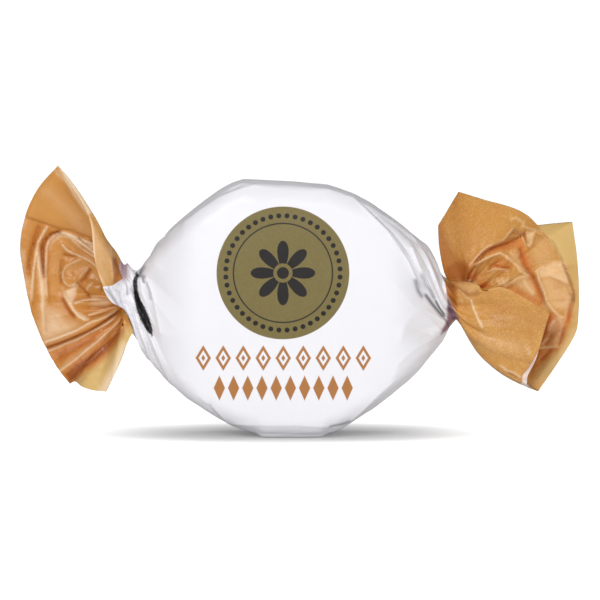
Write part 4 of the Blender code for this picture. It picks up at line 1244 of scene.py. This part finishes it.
# The two tails: their shapes, their traced folds and facets, and the looks of their two sides.
TAILS = (
    {
        "name": "wrapper_tail_left",
        "side": -1.0,
        "neck": LEFT_NECK,
        "rim": LEFT_RIM,
        "bulges": LEFT_BULGES,
        "back_folds": LEFT_BACK_FOLDS,
        "front_folds": LEFT_FRONT_FOLDS,
        "overlaps": LEFT_OVERLAPS,
        "back_light_and_shade": LEFT_BACK_LIGHT_AND_SHADE,
        "front_light_and_shade": LEFT_FRONT_LIGHT_AND_SHADE,
        "lobes": LEFT_LOBES,
        "outside": {"sparkle": 0.15, "lining": (NECK_WHITE, WHITE)},
        "inside": {
            "base": (GOLD_IN_DEEP, GOLD_IN), "deep": ORANGE_PAINTED_SHADE_AND_PITS,
            "light": GOLD_PAINTED_HIGHLIGHT, "dark": GOLD_PAINTED_SHADE, "grain": 0.06, "shine": 0.45,
        },
    },
    {
        "name": "wrapper_tail_right",
        "side": 1.0,
        "neck": RIGHT_NECK,
        "rim": RIGHT_RIM,
        "bulges": RIGHT_BULGES,
        "back_folds": RIGHT_BACK_FOLDS,
        "front_folds": RIGHT_FRONT_FOLDS,
        "overlaps": RIGHT_OVERLAPS,
        "back_light_and_shade": RIGHT_BACK_LIGHT_AND_SHADE,
        "front_light_and_shade": RIGHT_FRONT_LIGHT_AND_SHADE,
        "lobes": RIGHT_LOBES,
        "outside": {"sparkle": 0.5, "lining": (CURL_PINK, CURL_WHITE)},
        "inside": {
            "base": (GOLD_FLAP_DEEP, GOLD_FLAP), "deep": RED_PAINTED_SHADE_AND_PITS,
            "light": PEACH_PAINTED_HIGHLIGHT, "dark": RED_PAINTED_SHADE, "grain": 0.35, "shine": 0.18,
        },
    },
)

# The print on the front of the body, in mm.
DISC = {"x": -1.65, "z": 27.83, "radius": 11.1}
BEADS = {"radius": 9.57, "count": 44, "size": 0.42}
RING = {"radius": 8.28, "half_width": 0.11}
PETALS = {"count": 8, "reach": 5.4, "roundness": 0.55, "hole": 1.6, "heart": 1.0}
ROWS = (
    {
        "x": -1.6, "z": 13.57, "half_height": 2.15, "half_width": 1.3,
        "pitch": 3.35, "cells": 9, "solid": False,
    },
    {
        "x": -1.6, "z": 8.53, "half_height": 2.12, "half_width": 0.95,
        "pitch": 2.38, "cells": 10, "solid": True,
    },
)


def roundel(nodes):
    """Masks of the print's disc, and of the ring of beads and the rosette on it."""
    x, _, z, _ = nodes.millimetres()
    dx = nodes.minus(x, DISC["x"])
    dz = nodes.minus(z, DISC["z"])
    radius = nodes.math("SQRT", nodes.squares(dx, dz))
    turn = nodes.over(nodes.math("ARCTAN2", dz, dx), 2.0 * math.pi)
    disc = nodes.under(radius, DISC["radius"])
    cell = nodes.math("FRACT", nodes.times(nodes.plus(turn, 1.0), BEADS["count"]))
    pitch = 2.0 * math.pi * BEADS["radius"] / BEADS["count"]
    along = nodes.times(nodes.minus(cell, 0.5), pitch)
    out = nodes.minus(radius, BEADS["radius"])
    marks = nodes.under(nodes.math("SQRT", nodes.squares(along, out)), BEADS["size"])
    ring = nodes.size(nodes.minus(radius, RING["radius"]))
    marks = nodes.larger(marks, nodes.under(ring, RING["half_width"]))
    swing = nodes.size(nodes.math("COSINE", nodes.times(turn, math.pi * PETALS["count"])))
    petal = nodes.times(nodes.math("POWER", swing, PETALS["roundness"]), PETALS["reach"])
    rosette = nodes.under(nodes.minus(radius, petal), 0.0, 0.06)
    rosette = nodes.math("SUBTRACT", rosette, nodes.under(radius, PETALS["hole"]), clamp=True)
    rosette = nodes.larger(rosette, nodes.under(radius, PETALS["heart"]))
    return disc, nodes.larger(marks, rosette)


def frieze(nodes, row):
    """Mask of a row of outlined lozenges with a dot in each, or of small solid ones."""
    x, _, z, _ = nodes.millimetres()
    half = row["pitch"] * row["cells"] / 2.0
    along = nodes.over(nodes.minus(x, row["x"] - half), row["pitch"])
    cell = nodes.minus(nodes.math("FRACT", along), 0.5)
    off_x = nodes.over(nodes.size(nodes.times(cell, row["pitch"])), row["half_width"])
    off_z = nodes.over(nodes.size(nodes.minus(z, row["z"])), row["half_height"])
    off = nodes.plus(off_x, off_z)
    if row["solid"]:
        mask = nodes.under(off, 1.0, 0.06)
    else:
        band = nodes.under(nodes.size(nodes.minus(off, 0.8)), 0.2, 0.05)
        mask = nodes.larger(band, nodes.under(off, 0.26, 0.05))
    inside = nodes.under(nodes.size(nodes.minus(x, row["x"])), half)
    return nodes.times(mask, inside)


def fibre_bump(nodes, crinkle, size):
    """The paper's fine grain over soft crinkles."""
    soft = nodes.bump(nodes.noise(size, 3.0, 0.55), crinkle)
    return nodes.bump(nodes.noise(0.22, 2.0, 0.6), 0.006, 0.5, below=soft)


def creased(nodes, base, light, dark, depth=0.7):
    """The base colour with painted highlight and painted shade along its creases."""
    base = nodes.mix(nodes.times(nodes.attribute("light"), 0.85), base, light)
    return nodes.mix(nodes.times(nodes.attribute("dark"), depth), base, dark)


def toned(nodes, base, deep, light=GOLD_PAINTED_HIGHLIGHT, dark=GOLD_PAINTED_SHADE):
    """Gold with painted light through its single layers, painted light and shade on its facets, and its
    creases.
    """
    # Painted light through the single layers.
    base = nodes.mix(nodes.attribute("thin"), base, GOLD_PAINTED_THROUGH_LIGHT)
    base = nodes.mix(nodes.attribute("pale"), base, light)
    base = nodes.mix(nodes.attribute("deep"), base, deep)
    return creased(nodes, base, light, dark)


def white_paper():
    """White paper with the front's print, the worn black stroke, and the gold past the necks."""
    nodes = Nodes("white_paper")
    front = nodes.under(nodes.millimetres()[1], -1.0)
    base = nodes.mix(nodes.noise(6.0, 2.0), WHITE_SHADE, WHITE)
    disc, marks = roundel(nodes)
    speckle = nodes.ramp(nodes.noise(0.5, 3.0, 0.7), 0.3, 0.75)
    base = nodes.mix(nodes.times(disc, front), base, nodes.mix(speckle, OLIVE_DEEP, OLIVE))
    base = nodes.mix(nodes.times(nodes.times(marks, disc), front), base, DARK_PRINT)
    for row in ROWS:
        base = nodes.mix(nodes.times(frieze(nodes, row), front), base, COPPER)
    # Painted mauve shade by the necks.
    base = nodes.mix(nodes.attribute("mauve"), base, MAUVE_PAINTED_SHADE)
    # Painted grey shade in the body's creases.
    base = creased(nodes, base, WHITE, CREASE_PAINTED_SHADE, 0.85)
    grain = nodes.ramp(nodes.noise(0.3, 3.0, 0.8), 0.35, 0.8, 0.0, 0.35)
    worn = nodes.under(nodes.plus(nodes.attribute("mark"), grain), 0.0, 0.1)
    streaks = nodes.ramp(nodes.noise(0.35, 3.0, 0.8, (1.0, 1.0, 0.35)), 0.52, 0.75, 0.0, 0.45)
    base = nodes.mix(worn, base, nodes.mix(streaks, MARK_BLACK, MARK_WORN))
    gold = nodes.mix(nodes.noise(1.4, 4.0, 0.7), GOLD_OUT_DEEP, GOLD_OUT)
    # Painted brown shade on the gold beside the right neck.
    gold = nodes.mix(nodes.attribute("deep"), gold, BROWN_PAINTED_SHADE_AND_PITS)
    base = nodes.mix(nodes.under(nodes.attribute("gold"), 0.0, 0.1), gold, base)
    roughness = nodes.ramp(nodes.noise(3.0), 0.3, 0.7, 0.36, 0.46)
    return nodes.finish(base, roughness, fibre_bump(nodes, 0.05, 2.2), Specular_IOR_Level=0.4)


def gold_outside(sparkle, lining):
    """Matt printed gold with some fine flecks, and the white paper where the gold stops."""
    nodes = Nodes("gold_outside")
    flecks = nodes.ramp(nodes.noise(0.2, 2.0, 0.7), 0.54, 0.68)
    mottle = nodes.ramp(nodes.noise(1.4, 4.0, 0.7), 0.3, 0.7)
    base = nodes.mix(mottle, GOLD_OUT_DEEP, GOLD_OUT)
    base = nodes.mix(nodes.times(flecks, sparkle), base, FLECK)
    # Painted light and shade on the facets, painted light through single layers, and painted crease light
    # and shade.
    base = toned(nodes, base, BROWN_PAINTED_SHADE_AND_PITS)
    white = nodes.mix(nodes.ramp(nodes.noise(1.0, 2.0, 0.5, (0.4, 1.0, 1.0)), 0.3, 0.6), *lining)
    # Painted grey shade in the white lining's creases.
    white = creased(nodes, white, WHITE, CREASE_PAINTED_SHADE, 0.85)
    base = nodes.mix(nodes.under(nodes.attribute("white"), 0.0, 0.08), white, base)
    # Painted mauve shade by the necks and on the curl.
    base = nodes.mix(nodes.attribute("mauve"), base, MAUVE_PAINTED_SHADE)
    roughness = nodes.ramp(flecks, 0.0, 1.0, 0.46, 0.34)
    return nodes.finish(base, roughness, fibre_bump(nodes, 0.05, 1.6), Specular_IOR_Level=0.45)


def gold_inside(base, deep, light, dark, grain, shine):
    """The glossier inner side of a tail, with fine crinkles, some grain, and painted shade; shade and pits
    are browner by the neck.
    """
    nodes = Nodes("gold_inside")
    # The colour of the painted shade, browner by the neck and where the shade is deepest; the grain's pits
    # take it too.
    from_middle = nodes.size(nodes.millimetres()[0])
    brown = nodes.ramp(from_middle, 29.0, 33.0, 1.0, 0.0)
    brown = nodes.larger(brown, nodes.ramp(nodes.attribute("deep"), 0.6, 0.95))
    deep = nodes.mix(brown, deep, BROWN_PAINTED_SHADE_AND_PITS)
    base = nodes.mix(nodes.noise(4.0, 3.0), *base)
    specks = nodes.ramp(nodes.noise(0.3, 3.0, 0.75), 0.5, 0.7)
    base = nodes.mix(nodes.times(specks, grain), base, FLECK)
    pits = nodes.ramp(nodes.noise(0.55, 3.0, 0.7), 0.32, 0.5, 1.0, 0.0)
    base = nodes.mix(nodes.times(pits, 0.8 * grain), base, deep)
    base = toned(nodes, base, deep, light, dark)
    roughness = nodes.ramp(nodes.noise(2.0, 2.0), 0.3, 0.7, 0.34, 0.44)
    soft = nodes.bump(nodes.noise(1.6, 3.0, 0.5), 0.05)
    return nodes.finish(base, roughness, soft, Specular_IOR_Level=shine)


def light_and_shade_shares(x, z, tones):
    """How strong the painted light and the painted shade on the traced facets are, 0 to 1."""
    shares = [np.zeros(np.shape(x)), np.zeros(np.shape(x))]
    for tone, soft, outline in tones:
        share = abs(tone) * smooth_step(outline_distance(x, z, outline), -soft, soft)
        which = 0 if tone > 0.0 else 1
        shares[which] = np.maximum(shares[which], share)
    return shares


def right_mauve_shade(x, z):
    """The painted mauve shade at the foot of the right neck."""
    return RIGHT_MAUVE_SHADE_SHARE * smooth_step(outline_distance(x, z, RIGHT_MAUVE_SHADE), -0.3, 0.3)


def build_body(rings, normals, light, dark):
    """The white body, with the places of its black stroke, painted mauve shade and gold, and its creases.
    """
    piece = make_skin("wrapper_body", rings, normals, True)
    x, y, z = rings[..., 0], rings[..., 1], rings[..., 2]
    front = y < 0.0
    away, _, along = nearest_on_line(x, z, NECK_MARK)
    thick = np.interp(along, *MARK_HALF_WIDTH)
    add_value(piece, "mark", np.where(front, away - thick, 9.0))
    # Painted mauve shade at the foot of both necks.
    left_mauve = (1.0 - smooth_step(x, -28.6, -27.2)) * smooth_step(z, *LEFT_MAUVE_SHADE_FROM)
    add_value(piece, "mauve", np.maximum(right_mauve_shade(x, z), LEFT_MAUVE_SHADE_SHARE * left_mauve))
    gold = np.where(x > 0.0, x - np.interp(z, *RIGHT_GOLD), -9.0)
    left_gold = -outline_distance(x, z, LEFT_WHITE)
    gold = np.where((x < -27.0) & (z < 21.5) & front, left_gold, gold)
    add_value(piece, "gold", gold)
    # The painted brown shade on the gold beside the right neck.
    add_value(piece, "deep", front * light_and_shade_shares(x, z, RIGHT_FRONT_LIGHT_AND_SHADE)[1])
    # Shares of the painted crease highlight and the painted crease shade.
    add_value(piece, "light", light)
    add_value(piece, "dark", dark)
    piece.data.materials.append(white_paper())
    return piece


def lit_normals(rings, normals, side, on_back=None):
    """Normals turned towards the light where the paper would look dirty.

    That is where the left flap is edge-on, and on the inner skin, for which on_back is given, in
    the low lobe of the right tail and wherever the back looks away from the front.
    """
    to_rim = np.linspace(1.0, 0.0, len(rings))[:, None]
    edge_on = np.maximum(bell(normals[..., 1], 0.4), bell(to_rim, 0.03))
    edge_on = edge_on * smooth_step(rings[..., 2], *LEFT_FLAP) * (side < 0.0)
    normals = normals + 1.2 * edge_on[..., None] * THROAT_FACING * [side, 1.0, 1.0]
    if on_back is not None:
        low = smooth_step(rings[..., 0], 41.0, 43.0) * (1.0 - smooth_step(rings[..., 2], 19.5, 22.0))
        normals = normals + 0.9 * (low * on_back)[..., None] * [-0.35, -0.8, 0.45]
        normals[..., 1] = np.where(on_back > 0.5, np.minimum(normals[..., 1], -0.3), normals[..., 1])
    return normals / np.linalg.norm(normals, axis=2, keepdims=True)


def left_print(rings, share, on_back):
    """How far the left tail's white and painted mauve shade reach, and where the back's facets show."""
    x, z = rings[..., 0], rings[..., 2]
    reach = np.linalg.norm(rings[-1] - rings[0], axis=1)[None, :]
    white = np.where(on_back > 0.5, (0.07 - share) * reach, outline_distance(x, z, LEFT_WHITE))
    # Painted mauve shade by the left neck.
    by_neck = 1.0 - smooth_step(share * reach, 2.8, 3.6)
    mauve = LEFT_MAUVE_SHADE_SHARE * by_neck * smooth_step(z, *LEFT_MAUVE_SHADE_FROM)
    mauve = mauve * smooth_step(white, -0.1, 0.1)
    return white, mauve, np.maximum(on_back, smooth_step(-z, -19.5, -17.0))


def right_print(rings, share, on_back, outside):
    """How far the right tail's white curl and painted mauve shade reach, and where the back's facets show.
    """
    x, z = rings[..., 0], rings[..., 2]
    curl = outline_distance(x, z, CURLED_EDGE)
    on_curl = (on_back < 0.5) & (share > 0.5) & outside
    white = np.where(on_curl, curl, -1.0)
    # Painted mauve shade along the curl's edge and over its lower part.
    rim_line = 0.3 * bell(curl - 0.05, 0.16) * on_curl
    tint = 0.3 * smooth_step(z, 10.3, 12.5) * on_curl * smooth_step(curl, -0.1, 0.1)
    mauve = np.maximum(right_mauve_shade(x, z) * (1.0 - on_back), np.maximum(rim_line, tint))
    return white, mauve, np.maximum(on_back, smooth_step(z, 25.3, 26.6))


def tail_print(tail, rings, on_back, outside):
    """Distance into the white print, and a tail's painted mauve shade, light and shade of facets, and
    through-light.
    """
    x, z = rings[..., 0], rings[..., 2]
    share = np.linspace(0.0, 1.0, len(rings))[:, None]
    if tail["side"] < 0.0:
        white, mauve, on_back = left_print(rings, share, on_back)
    else:
        white, mauve, on_back = right_print(rings, share, on_back, outside)
    on_front = 1.0 - on_back
    # Painted light and painted shade of the traced facets, and painted light through the single layers.
    pale_back, deep_back = light_and_shade_shares(x, z, tail["back_light_and_shade"])
    pale_front, deep_front = light_and_shade_shares(x, z, tail["front_light_and_shade"])
    pale = on_back * pale_back + on_front * pale_front
    deep = on_back * deep_back + on_front * deep_front
    return white, mauve, pale, deep, on_back * light_and_shade_shares(x, z, tail["lobes"])[0]


def build_tail(tail, outer_skin, inner_skin, outer_normal):
    """One tail: its outer skin from the neck to the rim, and its inner skin back to the throat."""
    side = tail["side"]
    outer, outer_light, outer_dark, outer_back = outer_skin
    inner, inner_light, inner_dark, inner_back = inner_skin
    inner_normal = ring_normals(inner) * side
    on_outer = (outer_light, outer_dark, *tail_print(tail, outer, outer_back, True))
    on_inner = (inner_light, inner_dark, *tail_print(tail, inner, inner_back, False))
    # The inner skin runs back from the rim, and its last ring has the cap's normals.
    first = int(round(THROAT_AT * INNER_RINGS))
    order = [*range(INNER_RINGS, first - 1, -1), first]
    inside = (inner - inner_normal * PAPER)[order]
    inside[-1] = 0.98 * inside[-1] + 0.02 * inside[-1].mean(axis=0)
    inside_normal = lit_normals(inner, -inner_normal, side, inner_back)[order]
    inside_normal[-1] = THROAT_FACING * [side, 1.0, 1.0]
    grid = np.concatenate([outer, inside])
    normal = np.concatenate([lit_normals(outer, outer_normal, side), inside_normal])
    piece = make_skin(tail["name"], grid, normal, side > 0.0, inner_from=len(outer))
    labels = ("light", "dark", "white", "mauve", "pale", "deep", "thin")
    for label, of_outer, of_inner in zip(labels, on_outer, on_inner):
        add_value(piece, label, np.concatenate([of_outer, of_inner[order]]))
    piece.data.materials.append(gold_outside(**tail["outside"]))
    piece.data.materials.append(gold_inside(**tail["inside"]))
    return piece


def build_wrapper():
    """The body and the two tails, whose skins meet at the necks with the same normals."""
    noise.seed_set(NOISE_SEED)
    column = np.arange(COLUMNS) / COLUMNS
    left_end, right_end = [tail["neck"]["x"] + tail["side"] * tail["neck"]["reach"] for tail in TAILS]
    body, light, dark = body_rings(body_stations(left_end, right_end, BODY_RINGS), column)
    outer_skins = [funnel(tail, column, OUTER_RINGS) for tail in TAILS]
    inner_skins = [funnel(tail, column, INNER_RINGS) for tail in TAILS]
    left_outer, right_outer = outer_skins[0][0], outer_skins[1][0]
    normals = ring_normals(np.concatenate([left_outer[::-1], body[1:-1], right_outer]))
    cut = len(left_outer)
    body_normals = normals[cut - 1 : cut - 1 + len(body)]
    outer_normals = (normals[:cut][::-1], normals[cut - 2 + len(body) :])
    pieces = [build_body(body, body_normals, light, dark)]
    for tail, outer, inner, outer_normal in zip(TAILS, outer_skins, inner_skins, outer_normals):
        pieces.append(build_tail(tail, outer, inner, outer_normal))
    return pieces


def aim(item, target):
    """Turns a lamp or the camera towards a point."""
    item.rotation_euler = (Vector(target) - item.location).to_track_quat("-Z", "Y").to_euler()


def add_lamp(name, place, size, power, target):
    """A soft round lamp of that size in metres."""
    lamp = bpy.data.lights.new(name, "AREA")
    lamp.shape = "DISK"
    lamp.size = size
    lamp.energy = power
    item = bpy.data.objects.new(name, lamp)
    item.location = place
    bpy.context.scene.collection.objects.link(item)
    aim(item, target)


def build_floor():
    """A big plain pale floor that isn't part of the object, with a painted shadow: it glows less in an oval
    below it.
    """
    corners = ((-1.0, -1.0), (1.0, -1.0), (1.0, 1.0), (-1.0, 1.0))
    points = [(x * FLOOR_REACH, y * FLOOR_REACH, FLOOR_LEVEL) for x, y in corners]
    mesh = bpy.data.meshes.new("floor")
    mesh.from_pydata(points, [], [(0, 1, 2, 3)])
    item = bpy.data.objects.new("floor", mesh)
    bpy.context.scene.collection.objects.link(item)
    nodes = Nodes("floor")
    x, y, _, _ = nodes.millimetres()
    # The painted shadow: the glow falls to FLOOR_GLOW in an oval below the object, where the real shadow
    # falls too.
    wide = nodes.over(nodes.minus(x, FLOOR_SHADOW["x"]), FLOOR_SHADOW["half_width"])
    deep = nodes.over(nodes.minus(y, FLOOR_SHADOW["y"]), FLOOR_SHADOW["half_depth"])
    away = nodes.math("POWER", nodes.squares(wide, deep), 1.25)
    glow = nodes.ramp(away, 0.0, 1.0, FLOOR_GLOW, 1.0)
    path = nodes.tree.nodes.new("ShaderNodeLightPath")
    glow = nodes.times(glow, nodes.ramp(path.outputs["Is Camera Ray"], 0.0, 1.0, 0.3, 1.0))
    nodes.finish((0.5, 0.5, 0.5), 0.9, Emission_Color=(1.0, 1.0, 1.0), Emission_Strength=glow)
    mesh.materials.append(nodes.material)


def build_world():
    """A soft pale surround, seen as white."""
    world = bpy.data.worlds.new("soft_room")
    world.use_nodes = True
    tree = world.node_tree
    background = tree.nodes["Background"]
    background.inputs["Color"].default_value = (1.0, 1.0, 1.0, 1.0)
    path = tree.nodes.new("ShaderNodeLightPath")
    strength = tree.nodes.new("ShaderNodeMapRange")
    strength.inputs["To Min"].default_value = WORLD_LIGHT
    strength.inputs["To Max"].default_value = WORLD_SEEN
    tree.links.new(path.outputs["Is Camera Ray"], strength.inputs["Value"])
    tree.links.new(strength.outputs[0], background.inputs["Strength"])
    bpy.context.scene.world = world


def build_studio():
    """The floor, the surround, soft lamps and the camera."""
    build_floor()
    build_world()
    for name, place, size, power in LAMPS:
        add_lamp(name, place, size, power, LAMP_TARGET)
    scene = bpy.context.scene
    scene.view_settings.view_transform = "Standard"
    camera = bpy.data.cameras.new("camera")
    camera.sensor_width = SENSOR_WIDTH
    camera.lens = CAMERA_LENS
    item = bpy.data.objects.new("camera", camera)
    raised = math.radians(CAMERA_ELEVATION)
    item.location = (
        VIEW_CENTRE[0],
        -CAMERA_DISTANCE * math.cos(raised),
        VIEW_CENTRE[2] + CAMERA_DISTANCE * math.sin(raised),
    )
    scene.collection.objects.link(item)
    aim(item, VIEW_CENTRE)
    scene.camera = item


def main():
    """Builds the wrapper on the solid's body, and the studio."""
    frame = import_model()
    body = list(frame["bodies"])[0]
    for piece in build_wrapper():
        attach(piece, body)
        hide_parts("wrapped_polvoron")
    build_studio()


main()
